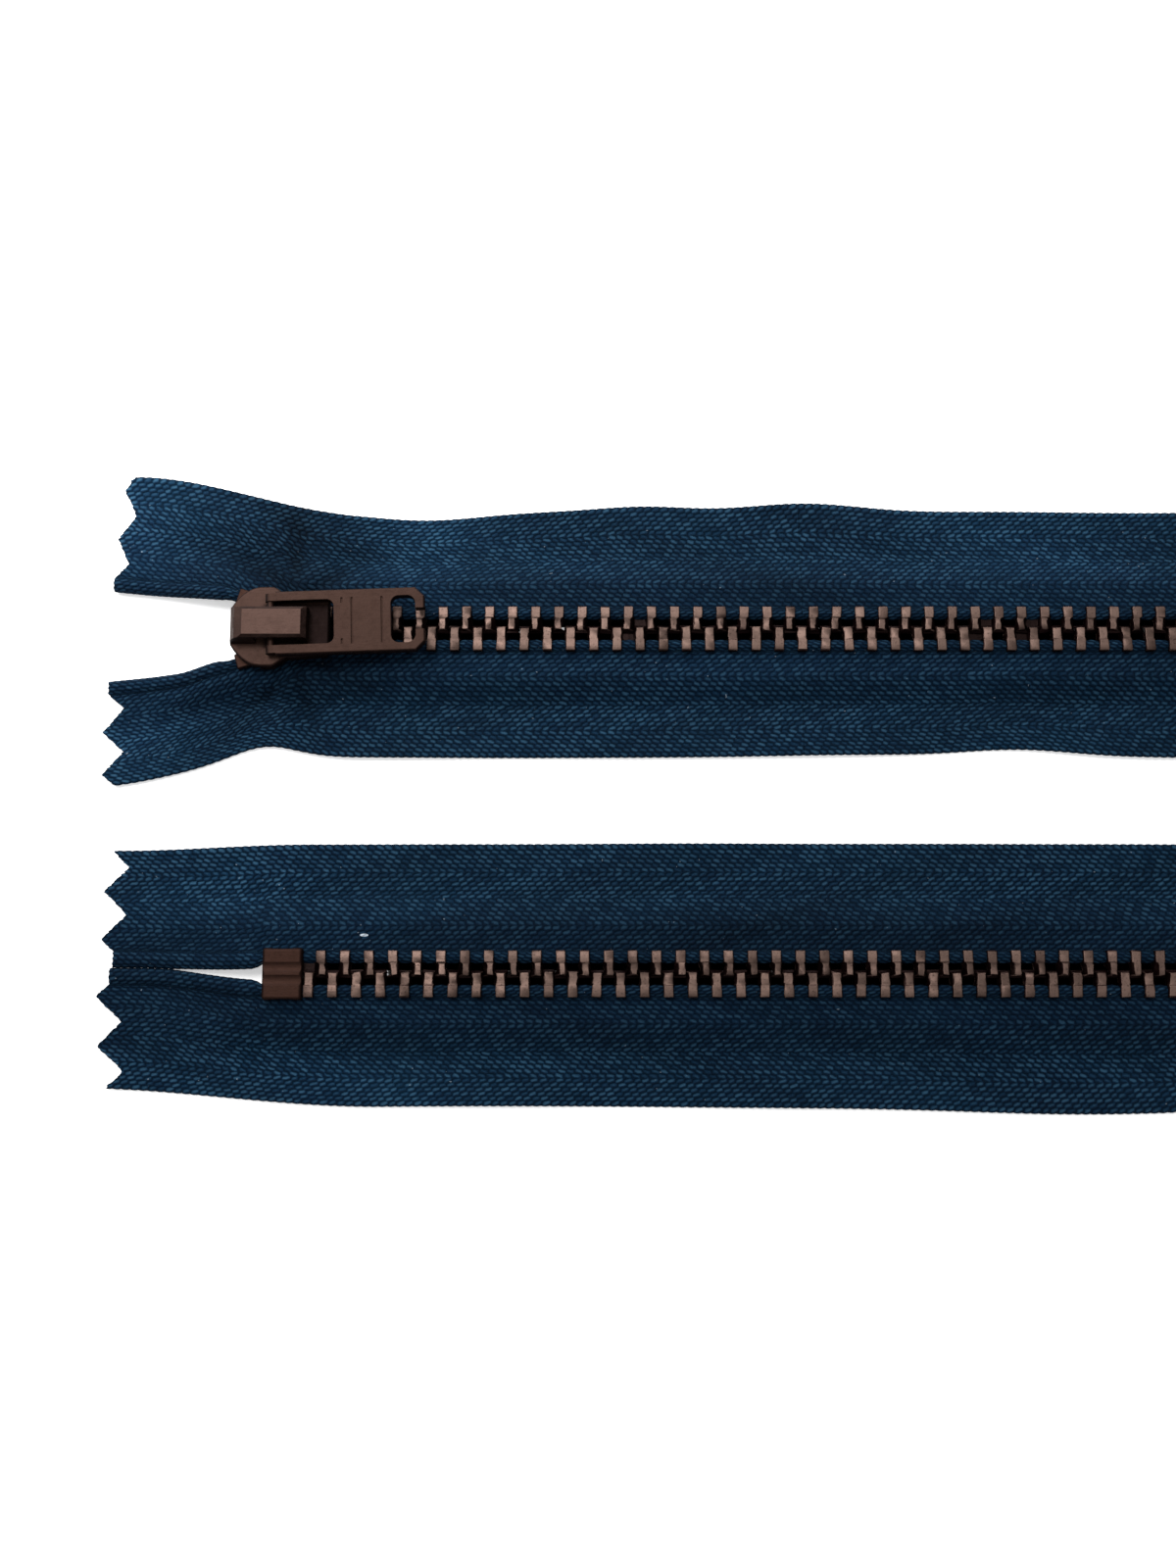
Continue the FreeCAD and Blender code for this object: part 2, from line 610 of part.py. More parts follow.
def puller_blank():
    """The plain plate with chamfered free corners and a round bar end at the pivot."""
    half = PULLER_HALF_THICK
    neck = PULLER_END - PULLER_CHAMFER
    tip = PULLER_HALF_WIDTH - PULLER_CHAMFER
    outline = [(0, PULLER_HALF_WIDTH), (neck, PULLER_HALF_WIDTH), (PULLER_END, tip)]
    outline += [(x, -y) for x, y in outline[::-1]]
    plate = closed_face(outline, -half).extrude(V(0, 0, 2 * half))
    plate = plate.makeFillet(PULLER_ROUNDING, [e for e in plate.Edges if e.BoundBox.ZLength < SAME_PLACE])
    low = PULLER_ROUNDING - PULLER_HALF_WIDTH
    trim = Part.makeBox(2 * half, 3 * PULLER_HALF_WIDTH, 4 * half, V(-half, 2 * low, -2 * half))
    bridge = Part.makeBox(half, -2 * low, 2 * half, V(0, low, -half))
    rounded = Part.makeCylinder(half, -2 * low, V(0, low, 0), V(0, 1, 0))
    return plate.cut(trim).fuse(plate.common(trim).common(bridge)).fuse(bridge).fuse(rounded)


def engraving():
    """The plain lines engraved across the panel and the short marks near its edges."""
    top = PULLER_HALF_THICK
    cuts = []
    for x in GROOVES:
        cuts.append(Part.makeBox(GROOVE_WIDTH, 2 * GROOVE_HALF_LENGTH, 1,
                                 V(x, -GROOVE_HALF_LENGTH, top - GROOVE_DEPTH)))
    for low in (TICK_INNER, -GROOVE_HALF_LENGTH):
        cuts.append(Part.makeBox(GROOVE_WIDTH, GROOVE_HALF_LENGTH - TICK_INNER, 1,
                                 V(TICK_X, low, top - GROOVE_DEPTH)))
    return Part.makeCompound(cuts)


def make_puller():
    """Two arms and a bar round the crown, a panel, and a slotted end."""
    puller = puller_blank()
    puller = puller.cut(slab(-2 * PULLER_HALF_THICK, WINDOW_END, WINDOW_HALF_WIDTH, WINDOW_CORNER))
    square = slab(-2 * PULLER_HALF_THICK, WINDOW_END / 2, WINDOW_HALF_WIDTH, SHARP_CORNER)
    puller = puller.cut(square)
    puller = puller.cut(slab(HOLE_START, HOLE_END, HOLE_HALF_WIDTH, HOLE_CORNER))
    puller = puller.cut(slab(HOLE_END - 1, PULLER_END + 1, NOTCH_HALF_WIDTH, NOTCH_CORNER))
    puller = puller.cut(engraving())
    bar = Part.makeCylinder(PIVOT_R, 2 * WINDOW_HALF_WIDTH, V(0, -WINDOW_HALF_WIDTH, 0), V(0, 1, 0))
    puller = puller.fuse(bar).removeSplitter()
    puller.rotate(V(0, 0, 0), V(0, 0, 1), PULLER_YAW)
    puller.translate(V(PIVOT_X, 0, PIVOT_Z))
    return on_chain(puller)


# ---- writing the pieces -------------------------------------------------------------
TAPE_STRETCHES = {
    "top_end": (TOP_END_X, FLEX_TOP),
    "upper": (FLEX_TOP, FLEX_MIDDLE),
    "at_slider_limit": (FLEX_MIDDLE, FLEX_LOW),
    "before_roll": (FLEX_LOW, ROLL_START),
    "first_roll": (ROLL_START, TURN_START),
    "first_bend": (TURN_START, TURN_MIDDLE),
    "second_bend": (TURN_MIDDLE, TURN_END),
    "second_roll": (TURN_END, ROLL_END),
    "lower": (ROLL_END, BOTTOM_END),
}
BEAD_STRETCHES = {
    "top_end": (TOP_END_X, FLEX_TOP),
    "upper": (FLEX_TOP, FLEX_MIDDLE),
    "at_slider_limit": (FLEX_MIDDLE, FLEX_LOW),
    "before_roll": (FLEX_LOW, ROLL_START),
    "round_bend": (ROLL_START, ROLL_END),
    "lower": (ROLL_END, BOTTOM_END),
}


def write(name, shape):
    shape.exportStep("parts/" + name + ".step")
    box = shape.BoundBox
    print(f"{name:32s} solids {len(shape.Solids):4d} valid {shape.isValid()} volume {shape.Volume:9.2f}"
          f"  x {box.XMin:7.2f} {box.XMax:7.2f} y {box.YMin:6.2f} {box.YMax:6.2f}"
          f" z {box.ZMin:5.2f} {box.ZMax:5.2f}")


def main():
    os.makedirs("parts", exist_ok=True)
    for hand, side in SIDES.items():
        for place, (start, end) in TAPE_STRETCHES.items():
            write(f"{hand}_tape_{place}", make_tape(start, end, side))
        for place, (start, end) in BEAD_STRETCHES.items():
            write(f"{hand}_bead_{place}", make_bead(start, end, side))
            write(f"{hand}_teeth_{place}", make_row(start, end, side))
        write(f"{hand}_top_stop", make_top_stop(side))
    write("bottom_stop", make_bottom_stop())
    write("slider_body", make_slider_body())
    write("slider_crown", make_cap())
    write("slider_pawl", make_pawl())
    write("puller", make_puller())
    print("chain length from top stop to bottom stop", round(STOP_START - TOP_STOP_REAR_X, 1))


main()
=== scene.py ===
"""The looks of a metal zipper that lies in a long U. Lengths in the helpers are millimetres."""
import math
import bpy
import numpy as np
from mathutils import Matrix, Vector


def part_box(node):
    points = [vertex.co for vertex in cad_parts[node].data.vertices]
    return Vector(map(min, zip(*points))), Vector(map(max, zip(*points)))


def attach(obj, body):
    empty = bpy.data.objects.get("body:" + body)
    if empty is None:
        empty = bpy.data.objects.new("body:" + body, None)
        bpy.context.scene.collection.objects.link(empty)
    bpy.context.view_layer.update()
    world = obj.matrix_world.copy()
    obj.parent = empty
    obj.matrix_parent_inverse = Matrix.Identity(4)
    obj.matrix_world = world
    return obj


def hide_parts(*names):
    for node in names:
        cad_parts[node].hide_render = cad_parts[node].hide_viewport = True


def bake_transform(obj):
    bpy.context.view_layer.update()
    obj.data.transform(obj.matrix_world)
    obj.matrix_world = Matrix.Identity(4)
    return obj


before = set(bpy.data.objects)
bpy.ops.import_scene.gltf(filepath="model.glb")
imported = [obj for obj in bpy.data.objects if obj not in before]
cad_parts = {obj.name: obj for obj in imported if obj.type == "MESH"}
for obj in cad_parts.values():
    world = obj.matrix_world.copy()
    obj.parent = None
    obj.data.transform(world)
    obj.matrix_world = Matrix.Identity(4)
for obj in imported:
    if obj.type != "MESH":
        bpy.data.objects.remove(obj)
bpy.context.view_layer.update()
MM = 0.001

# ---- the lay, as in the CAD model before it is moved over the origin -----------
RUN_GAP = 41.5            # between the centrelines of the two runs
HALF_GAP = RUN_GAP / 2
TOP_END_X = -57.9         # cut end of the tapes beside the slider
BOTTOM_END_X = -56.2      # cut end of the tapes beyond the bottom stop
FLAT_END_X = 80.0         # where the runs start to roll onto their edge
ROLL_RUN = 66.2           # plan length of the rolling stretch
TURN = math.pi * HALF_GAP
CHAIN_Z = 1.97            # middle of the chain above the surface
NOSE_X = -43.0            # the slider's nose
MESH_X = -34.1            # the rows mesh from here on
SPREAD = 1.6              # how far the slider's post pushes each row aside
SPREAD_RUN = 5.0
MOUTH_X = -39.9           # from here towards the cut end they open by another millimetre
MOUTH_RUN = 4.4
SPLAY = 1.5               # and from the nose to the cut end by this much more
TOP_STOP_REAR_X = -40.3
STOP_FRONT_X = -38.0      # the bottom stop, towards the cut end
STOP_MIDDLE_X = -35.65
STOP_REAR_X = -33.3
PITCH = 2.8
FIRST_TOOTH_X = -34.3     # a tooth of the left row, the right row is half a pitch on
TOOTH_THICK = 1.15        # along the chain
FIT_GAP = 0.09            # between the last tooth and the bottom stop

# ---- tape -----------------------------------------------------------------------
TAPE_THICK = 0.5
TAPE_REACH = 13.35        # from the bead's centre to the outer edge
BEAD_R = 0.65
BEAD_OFFSET = 1.95        # bead centre to chain centreline where the rows mesh
TAPE_EDGE = BEAD_OFFSET + TAPE_REACH
SINK = CHAIN_Z - TAPE_THICK / 2
SHELF_END = 5.2           # the tape stays level this far out from the chain
SHELF_MARGIN = 1.2        # and at least this far beyond the bead
SLOPE_RUN = 4.6           # then comes down to the surface over this width
RIB = TAPE_REACH / 25     # one warp yarn across the tape
DASH = 1.0                # one float along the tape
BAND = 6                  # ribs in one band of the herringbone
LEAN = 0.5                # how far a float leans over, in half ribs
STEP_BACK = 0.3           # each rib's floats start this much of a float later
RELIEF = 0.055            # how far the floats stand out of the tape
SCALLOP = 0.08            # depth of the scalloped selvage
TOOTH_SQUEEZE = 0.085     # the bead bulges this much between the teeth
COLUMNS = 70              # on the top of the tape, three to a rib
ROW = 0.25                # and along the runs that lie flat
BEND_ROW = 0.7            # and round the bend
CUT_REACH = 8.0           # the rows follow the pinked cut this far in

# ---- the loose ends of the beads -----------------------------------------------------
CLOSING_RUN = 11.0        # past the bottom stop the beads come together over this length
BEAD_CLEARANCE = 0.03     # left between each bead and the centreline
SINK_START = 0.5          # past the nose or the stop the beads start to come down
SINK_RUN = 11.0
END_HEIGHT = 0.45         # of the beads' middle above the resting tape, at the cut ends
OPENED_X, OPENED_RUN, OPENED = -44.0, 6.0, 0.9      # the right tape opens wider at the top
LEAN_START, LEAN_RUN, LEAN_OVER = 1.0, 14.0, 0.8    # both bottom ends lean to one side
GAP_START = 0.25          # past the stop each bead lies this much nearer the centreline
GAP_CLOSES, GAP_RUN = 0.7, 11.2                     # and by the first more, after the second

# ---- where the tapes flex as the slider travels -----------------------------------
FLEX_TOP = 5.0            # hinge between the top and middle stretches
UPPER_SEAM = 26.0         # between the two sheets of the upper run
FLEX_MIDDLE = 48.2        # the low stretch lies between these two
FLEX_LOW = 53.7

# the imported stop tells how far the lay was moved
stop_low, stop_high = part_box("bottom_stop")
SHIFT = np.array([(stop_low[0] + stop_high[0]) / 2 / MM - STOP_MIDDLE_X,
                  (stop_low[1] + stop_high[1]) / 2 / MM + HALF_GAP, 0.0])


def smooth(t):
    """0 to 1 with level ends."""
    t = np.clip(t, 0.0, 1.0)
    return t * t * (3 - 2 * t)


def waves(s, *terms):
    """A sum of sines, each (height, wavelength, phase)."""
    return sum(h * np.sin(2 * math.pi * s / length + phase) for h, length, phase in terms)


# ---- the centreline ------------------------------------------------------------------
class Path:
    """Centre, direction, left and face normal along the chain, by chain length."""

    def __init__(self):
        turn_at = FLAT_END_X + ROLL_RUN
        q = np.arange(-70.0, 2 * turn_at + TURN + 70.0, 0.25)
        angle = np.clip((q - turn_at) / HALF_GAP, 0, math.pi)
        back = np.maximum(q - turn_at - TURN, 0)
        zero = np.zeros_like(q)
        out = np.stack([np.sin(angle), np.cos(angle), zero], 1)
        place = out * HALF_GAP
        place[:, 0] += np.minimum(q, turn_at) - back
        roll = smooth((q - FLAT_END_X) / ROLL_RUN) * smooth(1 - back / ROLL_RUN) * math.pi / 2
        drop = SINK * (1 - 2 * roll / math.pi) + TAPE_THICK / 2
        place[:, 2] = TAPE_EDGE * np.sin(roll) + drop * np.cos(roll)
        steps = np.linalg.norm(np.diff(place, axis=0), axis=1)
        self.s = np.concatenate([[0], np.cumsum(steps)]) + q[0]
        self.roll_end = float(np.interp(turn_at + TURN + ROLL_RUN, q, self.s))
        along = np.gradient(place, axis=0)
        along /= np.linalg.norm(along, axis=1)[:, None]
        face = out * np.sin(roll)[:, None]
        face[:, 2] = np.cos(roll)
        left = np.cross(face, along)
        left /= np.linalg.norm(left, axis=1)[:, None]
        self.table = np.concatenate([place, along, left, np.cross(along, left), roll[:, None]], 1)

    def at(self, s):
        """(centre, along, left, face, roll) for an array of chain lengths."""
        rows = np.stack([np.interp(s, self.s, column) for column in self.table.T], -1)
        return rows[..., 0:3], rows[..., 3:6], rows[..., 6:9], rows[..., 9:12], rows[..., 12]


PATH = Path()
ROLL_END = PATH.roll_end
BOTTOM_END = ROLL_END + FLAT_END_X - BOTTOM_END_X
STOP_FINISH = ROLL_END + FLAT_END_X - STOP_FRONT_X


def bead_offset(s):
    """Distance of the bead and its teeth from the centreline, as in the CAD model."""
    beside_post = SPREAD * smooth((MESH_X - s) / SPREAD_RUN)
    at_mouth = smooth((MOUTH_X - s) / MOUTH_RUN)
    splay = SPLAY * np.maximum(0.0, (NOSE_X - s) / (NOSE_X - TOP_END_X))
    closing = (BEAD_OFFSET - BEAD_R - BEAD_CLEARANCE) * smooth((s - STOP_FINISH) / CLOSING_RUN)
    return BEAD_OFFSET + beside_post + at_mouth + splay - closing


def bead_sink(s):
    """How far the bead comes down towards the surface at the loose ends."""
    at_top = smooth((NOSE_X - SINK_START - s) / SINK_RUN)
    at_bottom = smooth((s - STOP_FINISH - SINK_START) / SINK_RUN)
    return (SINK - END_HEIGHT) * np.maximum(at_top, at_bottom)


def bead_place(s, side):
    """The bead as it happens to lie: one tape opens a little wider, both ends lean over."""
    opened = OPENED * smooth((OPENED_X - s) / OPENED_RUN) if side < 0 else 0.0
    leaned = -side * LEAN_OVER * smooth((s - STOP_FINISH - LEAN_START) / LEAN_RUN)
    closing = BEAD_OFFSET - GAP_START - GAP_CLOSES * np.clip((s - STOP_FINISH) / GAP_RUN, 0, 1)
    past_stop = smooth((s - STOP_FINISH + 0.4) / 1.2)
    return bead_offset(s) * (1 - past_stop) + closing * past_stop + opened + leaned


def welt(s):
    """The cut ends of the inner edge are rolled over and wider than the bead."""
    return 0.3 * smooth((s - STOP_FINISH) / 1.5) + 0.2 * smooth((NOSE_X - s) / 2.0)


# The outer edges stray from a straight line. First how far each run of each tape flares at its
# cut end, or narrows, from which x and over what length; then its swells: middle, half length, amount.
FLARES = {("upper", 1): (4.6, -29.0, 27.0), ("upper", -1): (3.7, -37.0, 24.0),
          ("lower", 1): (-2.3, -24.0, 36.0), ("lower", -1): (-0.7, -33.0, 22.0)}
SWELLS = {("upper", 1): [(-20.0, 9.5, -0.95), (7.0, 8.0, 0.75), (27.0, 10.0, 1.2)],
          ("upper", -1): [(-39.0, 5.5, -1.4), (36.0, 18.0, -0.35), (52.0, 9.0, -0.85)],
          ("lower", 1): [(58.0, 18.0, 0.7), (-10.0, 25.0, -0.25)],
          ("lower", -1): [(20.0, 45.0, 0.15)]}
STRAIGHTENS = 14.0        # over this length before the roll the edges come back to their line


def edge_stray(x, run, side):
    """How far one outer edge lies outside its straight line."""
    amount, start, length = FLARES[run, side]
    stray = amount * smooth((start - x) / length)
    for middle, half_length, swell in SWELLS[run, side]:
        stray = stray + swell * np.exp(-((x - middle) / half_length) ** 2)
    return stray * smooth((FLAT_END_X - x) / STRAIGHTENS)


def outer_edge(s, side):
    """Distance of the tape's outer edge from the centreline."""
    upper = edge_stray(s, "upper", side)
    lower = edge_stray(ROLL_END + FLAT_END_X - s, "lower", side)
    return TAPE_EDGE + np.where(s < FLAT_END_X, upper, np.where(s > ROLL_END, lower, 0.0))


PUCKER_X = -35.5          # the tapes pucker in a fan from the slider's shoulders
PUCKER_FOLDS = 6.5


def lift(s, w, side):
    """Height of the tape above its plain shape: slow waves, and puckers by the slider."""
    t = np.clip(w / TAPE_REACH, 0, 1)
    swell = 0.5 + waves(s, (0.3, 47.0, 1.3 * side), (0.2, 29.0, 2.1 + side))
    height = 0.5 * t * t * np.maximum(swell, 0)
    fan, folds = puckers(s, w, side)
    return height + 0.55 * fan * folds


def puckers(s, w, side):
    """Folds that fan out from the slider's shoulder: how strong, and 0 to 1 across each."""
    away = np.hypot(s - PUCKER_X, w - 1.0)
    angle = np.arctan2(w - 1.0, s - PUCKER_X)
    near = smooth((away - 1.5) / 3.0) * (1 - smooth((away - 8.0) / 7.0))
    fan = near * smooth((angle - 0.1) / 0.4)
    folds = 0.5 + 0.5 * np.sin(PUCKER_FOLDS * angle + (0.4 if side > 0 else 2.3))
    return fan * (1 - smooth((angle - 2.2) / 0.7)), folds


# patches of painted shade and painted light: x, distance from the bead, their two half sizes, how much
# darker (or lighter)
LOWER = ROLL_END + FLAT_END_X       # chain length of x = 0 on the lower run
LIGHT_AND_SHADE_PATCHES = {
    1: [(-36.0, 7.0, 8.0, 9.0, 0.5), (-20.0, 10.0, 6.0, 7.0, -0.35), (-57.0, 7.0, 7.0, 9.0, -0.6),
        (20.0, 8.0, 14.0, 12.0, 0.1), (54.0, 9.0, 13.0, 12.0, -0.4),
        (LOWER + 28.0, 11.0, 20.0, 5.0, -0.35)],
    -1: [(-34.0, 2.5, 7.0, 4.5, 0.45), (-56.0, 8.0, 8.0, 9.0, -0.5), (20.0, 3.0, 50.0, 4.0, -0.35),
         (LOWER - 25.0, 3.0, 35.0, 4.0, 0.3), (LOWER + 45.0, 9.0, 14.0, 9.0, -0.3)],
}


def painted_light_and_shade(s, w, side):
    """How much darker the cloth is painted: painted shade in a patch by the slider and in the pucker
    creases, painted light and shade in other patches, slow waves darker and lighter.
    """
    shade = 0.12 * waves(s + 3.0 * w, (0.6, 31.0, side), (0.4, 13.0, 2.0 + side))
    for x, out, along, across, amount in LIGHT_AND_SHADE_PATCHES[side]:
        shade = shade + amount * np.exp(-((s - x) / along) ** 2 - ((w - out) / across) ** 2)
    fan, folds = puckers(s, w, side)
    # painted shade in the creases between the pucker folds
    return shade + 0.22 * fan * (1 - folds) ** 3


# ---- weave ----------------------------------------------------------------------------
def weave_height(s, w):
    """0 in the gaps to 1 on the back of a float; floats lean over into the next rib."""
    height = np.zeros_like(s)
    for neighbour in (-1, 0, 1):
        rib = w / RIB
        index = np.floor(rib) + neighbour
        slant = 1 - 2 * np.mod(np.floor((index + BAND - 1) / BAND), 2)
        phase = s / DASH + slant * index * STEP_BACK
        dash = 2 * (phase - np.floor(phase)) - 1
        y = 2 * (rib - index) - 1 - slant * dash * LEAN
        height = np.maximum(height, np.clip(1 - y * y, 0, 1) * (1 - np.abs(dash) ** 3))
    return height


# ---- tape meshes ------------------------------------------------------------------------
def section_columns():
    """Columns of the loop round one tape: distances from the bead on the top, outer edge first,
    then angles round the bead, then distances on the underside."""
    top = TAPE_REACH - np.arange(COLUMNS + 1) * RIB / 3
    bottom = top[::-1][::2]
    return top, np.radians(np.linspace(28, 332, 17)), bottom


def tape_rows(start, end):
    """Chain lengths of the mesh rows, close together where the zipper lies flat."""
    parts = []
    for low, high, spacing in ((TOP_END_X, FLAT_END_X, ROW), (FLAT_END_X, ROLL_END, BEND_ROW),
                               (ROLL_END, BOTTOM_END, ROW)):
        low, high = max(low, start), min(high, end)
        if high - low > 0.01:
            parts.append(np.linspace(low, high, int(round((high - low) / spacing)) + 1))
    return np.unique(np.round(np.concatenate(parts), 4))


# Pinked ends: how far from the bead a point of the zigzag is, its depth, how far the whole cut
# stands back from the plain end, and how much more for each millimetre outward.
PINK_PITCH = 6.0
PINKING = {("top", 1): (-0.2, 1.9, 0.2, 0.1), ("top", -1): (-0.3, 2.6, 0.25, 0.03),
           ("bottom", 1): (2.35, 3.0, -0.35, 0.06), ("bottom", -1): (2.35, 2.9, 0.0, 0.0)}


def cut_back(w, end, side, random):
    """How far the cut stands back from the plain end; the bead is cut square."""
    point_at, depth, back, slant = PINKING[end, side]
    out = np.maximum(w, BEAD_R)
    phase = (out - point_at) / PINK_PITCH
    zigzag = 1 - np.abs(2 * (phase - np.floor(phase)) - 1)
    return depth * (zigzag - 0.5) + back + slant * out + random.normal(0, 0.07, w.shape)


def stretched_ends(rows, w, side):
    """Chain length of every mesh point, with the rows at a cut end following the zigzag."""
    s = np.repeat(rows[:, None], len(w), 1)
    random = np.random.default_rng(5 + side)
    if rows[0] == TOP_END_X:
        near = np.clip(1 - (s - TOP_END_X) / CUT_REACH, 0, 1)
        s = s + cut_back(w, "top", side, random)[None, :] * near
    if abs(rows[-1] - BOTTOM_END) < 0.01:
        near = np.clip(1 - (BOTTOM_END - s) / CUT_REACH, 0, 1)
        s = s - cut_back(w, "bottom", side, random)[None, :] * near
    return s


def tape_points(rows, side):
    """Points, chain lengths and distances from the bead of one tape's loop, rows by columns,
    and the counts of its top, bead and bottom columns."""
    top, arc, bottom = section_columns()
    edge_w = np.array([TAPE_REACH + 0.12])
    w_all = np.concatenate([top, np.cos(arc) * BEAD_R, bottom, edge_w])
    s = stretched_ends(rows, w_all, side)
    w = np.repeat(w_all[None, :], len(rows), 0)
    bead = bead_place(s, side)
    rolled = welt(s)
    u = bead + w + rolled * np.exp(-np.maximum(w - 0.7, 0) / 0.8)
    start = -bead_sink(s)
    _, _, _, _, roll = PATH.at(s)
    flat = 1 - 2 * roll / math.pi
    shelf = np.maximum(SHELF_END, bead + SHELF_MARGIN)
    t = np.clip((u - shelf) / SLOPE_RUN, 0, 1)
    middle = start + (-SINK * flat - start) * smooth(t)
    tilt = (-SINK * flat - start) * 6 * t * (1 - t) / SLOPE_RUN
    middle = middle + lift(s, w, side) * flat
    scallop = SCALLOP * np.abs(np.sin(math.pi * s / DASH)) * smooth((w - TAPE_REACH + 0.5) / 0.5)
    share = np.clip(w / TAPE_REACH, 0, 1) ** 1.6
    u = u + (outer_edge(s, side) - bead - TAPE_REACH) * share + scallop
    n_top, n_arc = len(top), len(arc)
    thick = np.zeros(len(w_all))
    thick[:n_top] = 0.5
    thick[n_top + n_arc:-1] = -0.5
    rounding = 1 - 0.35 * smooth((w - TAPE_REACH + 0.35) / 0.35)
    raised = RELIEF * (weave_height(s, w) - 0.5) + 0.05 * smooth((w - 12.9) / 0.3)
    half = (TAPE_THICK + 2 * raised) * thick[None, :] * rounding
    v = middle + half / np.sqrt(1 + tilt * tilt)
    u = u - half * tilt / np.sqrt(1 + tilt * tilt)
    phase = (s - FIRST_TOOTH_X - (0 if side > 0 else PITCH / 2)) / PITCH
    bulge = np.where((s > TOP_END_X + 18) & (s < STOP_FINISH - 4), -np.cos(2 * math.pi * phase), 0.3)
    radius = BEAD_R + 0.03 + TOOTH_SQUEEZE * bulge + 0.02 * np.sin(2 * math.pi * s / 0.8)
    cols = slice(n_top, n_top + n_arc)
    u[:, cols] = bead[:, cols] + (radius + rolled)[:, cols] * np.cos(arc)[None, :]
    v[:, cols] = start[:, cols] + radius[:, cols] * np.sin(arc)[None, :]
    w[:, cols] = -arc[None, :]
    centre, _, left, face, _ = PATH.at(s)
    points = centre + left * (side * u)[..., None] + face * v[..., None] + SHIFT
    return points, s, w, (n_top, n_arc, len(bottom))


def loop_faces(n_rows, n_cols, flip):
    """Quads between neighbouring rows of a closed loop."""
    i = np.arange(n_rows - 1)[:, None]
    j = np.arange(n_cols)[None, :]
    k = (j + 1) % n_cols
    quads = np.stack([i * n_cols + j, i * n_cols + k, (i + 1) * n_cols + k, (i + 1) * n_cols + j], -1)
    quads = quads.reshape(-1, 4)
    return quads[:, ::-1] if flip else quads


def cap_faces(base, counts, flip):
    """Closes the end of the loop: five-sided faces across the tape and one at the bead."""
    n_top, n_arc, n_bottom = counts
    total = n_top + n_arc + n_bottom + 1
    first_bottom = n_top + n_arc
    faces = []
    for k in range(n_bottom - 1):
        a = n_top - 1 - 2 * k
        b = first_bottom + k
        faces.append([base + a, base + a - 1, base + a - 2, base + b + 1, base + b])
    faces.append([base + j for j in range(n_top - 1, first_bottom + 1)])
    faces.append([base + total - 1, base + 0, base + total - 2][::-1])
    return [f[::-1] for f in faces] if flip else faces


def make_tape(name, start, end, side):
    """One sheet of tape from one chain length to another."""
    rows = tape_rows(start, end)
    points, s, w, counts = tape_points(rows, side)
    n_rows, n_cols = s.shape
    quads = loop_faces(n_rows, n_cols, side > 0)
    caps = cap_faces(0, counts, side < 0) + cap_faces((n_rows - 1) * n_cols, counts, side > 0)
    mesh = bpy.data.meshes.new(name)
    mesh.from_pydata((points.reshape(-1, 3) * MM).tolist(), [], quads.tolist() + caps)
    mesh.update()
    cloth = mesh.attributes.new("cloth", "FLOAT_VECTOR", "POINT")
    values = np.stack([s, w, np.full_like(s, side)], -1).reshape(-1, 3)
    cloth.data.foreach_set("vector", values.astype(np.float32).ravel())
    # the painted light and shade of the cloth, for its material
    shade = mesh.attributes.new("shade", "FLOAT", "POINT")
    shade.data.foreach_set("value", painted_light_and_shade(s, w, side).astype(np.float32).ravel())
    mesh.polygons.foreach_set("use_smooth", [True] * len(mesh.polygons))
    obj = bpy.data.objects.new(name, mesh)
    bpy.context.collection.objects.link(obj)
    mesh.materials.append(WOVEN)
    return obj


# ---- node material helpers ------------------------------------------------------------
class Nodes:
    """A short way to write a node tree."""

    def __init__(self, name):
        self.material = bpy.data.materials.new(name)
        self.material.use_nodes = True
        self.tree = self.material.node_tree
        self.shader = self.tree.nodes["Principled BSDF"]

    def new(self, kind, **values):
        node = self.tree.nodes.new(kind)
        for key, value in values.items():
            setattr(node, key, value)
        return node

    def link(self, source, target):
        if isinstance(source, (int, float, tuple)):
            target.default_value = source
        else:
            self.tree.links.new(source, target)

    def math(self, operation, a, b=0.0, c=0.0, clamp=False):
        node = self.new("ShaderNodeMath", operation=operation, use_clamp=clamp)
        for socket, value in zip(node.inputs, (a, b, c)):
            self.link(value, socket)
        return node.outputs[0]

    def noise(self, vector, scale, detail=2.0, rough=0.5):
        node = self.new("ShaderNodeTexNoise")
        self.link(vector, node.inputs["Vector"])
        node.inputs["Scale"].default_value = scale
        node.inputs["Detail"].default_value = detail
        node.inputs["Roughness"].default_value = rough
        return node.outputs["Fac"]

    def ramp(self, value, *stops):
        node = self.new("ShaderNodeValToRGB")
        elements = node.color_ramp.elements
        while len(elements) < len(stops):
            elements.new(0.5)
        for element, (place, color) in zip(elements, stops):
            element.position = place
            element.color = (*color, 1)
        self.link(value, node.inputs[0])
        return node.outputs["Color"]

    def mix(self, factor, a, b, mode="MIX"):
        node = self.new("ShaderNodeMix", data_type="RGBA", blend_type=mode)
        self.link(factor, node.inputs[0])
        self.link(a, node.inputs[6])
        self.link(b, node.inputs[7])
        return node.outputs[2]

    def bump(self, height, distance, strength=1.0, normal=None):
        node = self.new("ShaderNodeBump")
        node.inputs["Strength"].default_value = strength
        node.inputs["Distance"].default_value = distance
        self.link(height, node.inputs["Height"])
        if normal is not None:
            self.link(normal, node.inputs["Normal"])
        return node.outputs["Normal"]

    def object_coords(self):
        return self.new("ShaderNodeTexCoord").outputs["Object"]


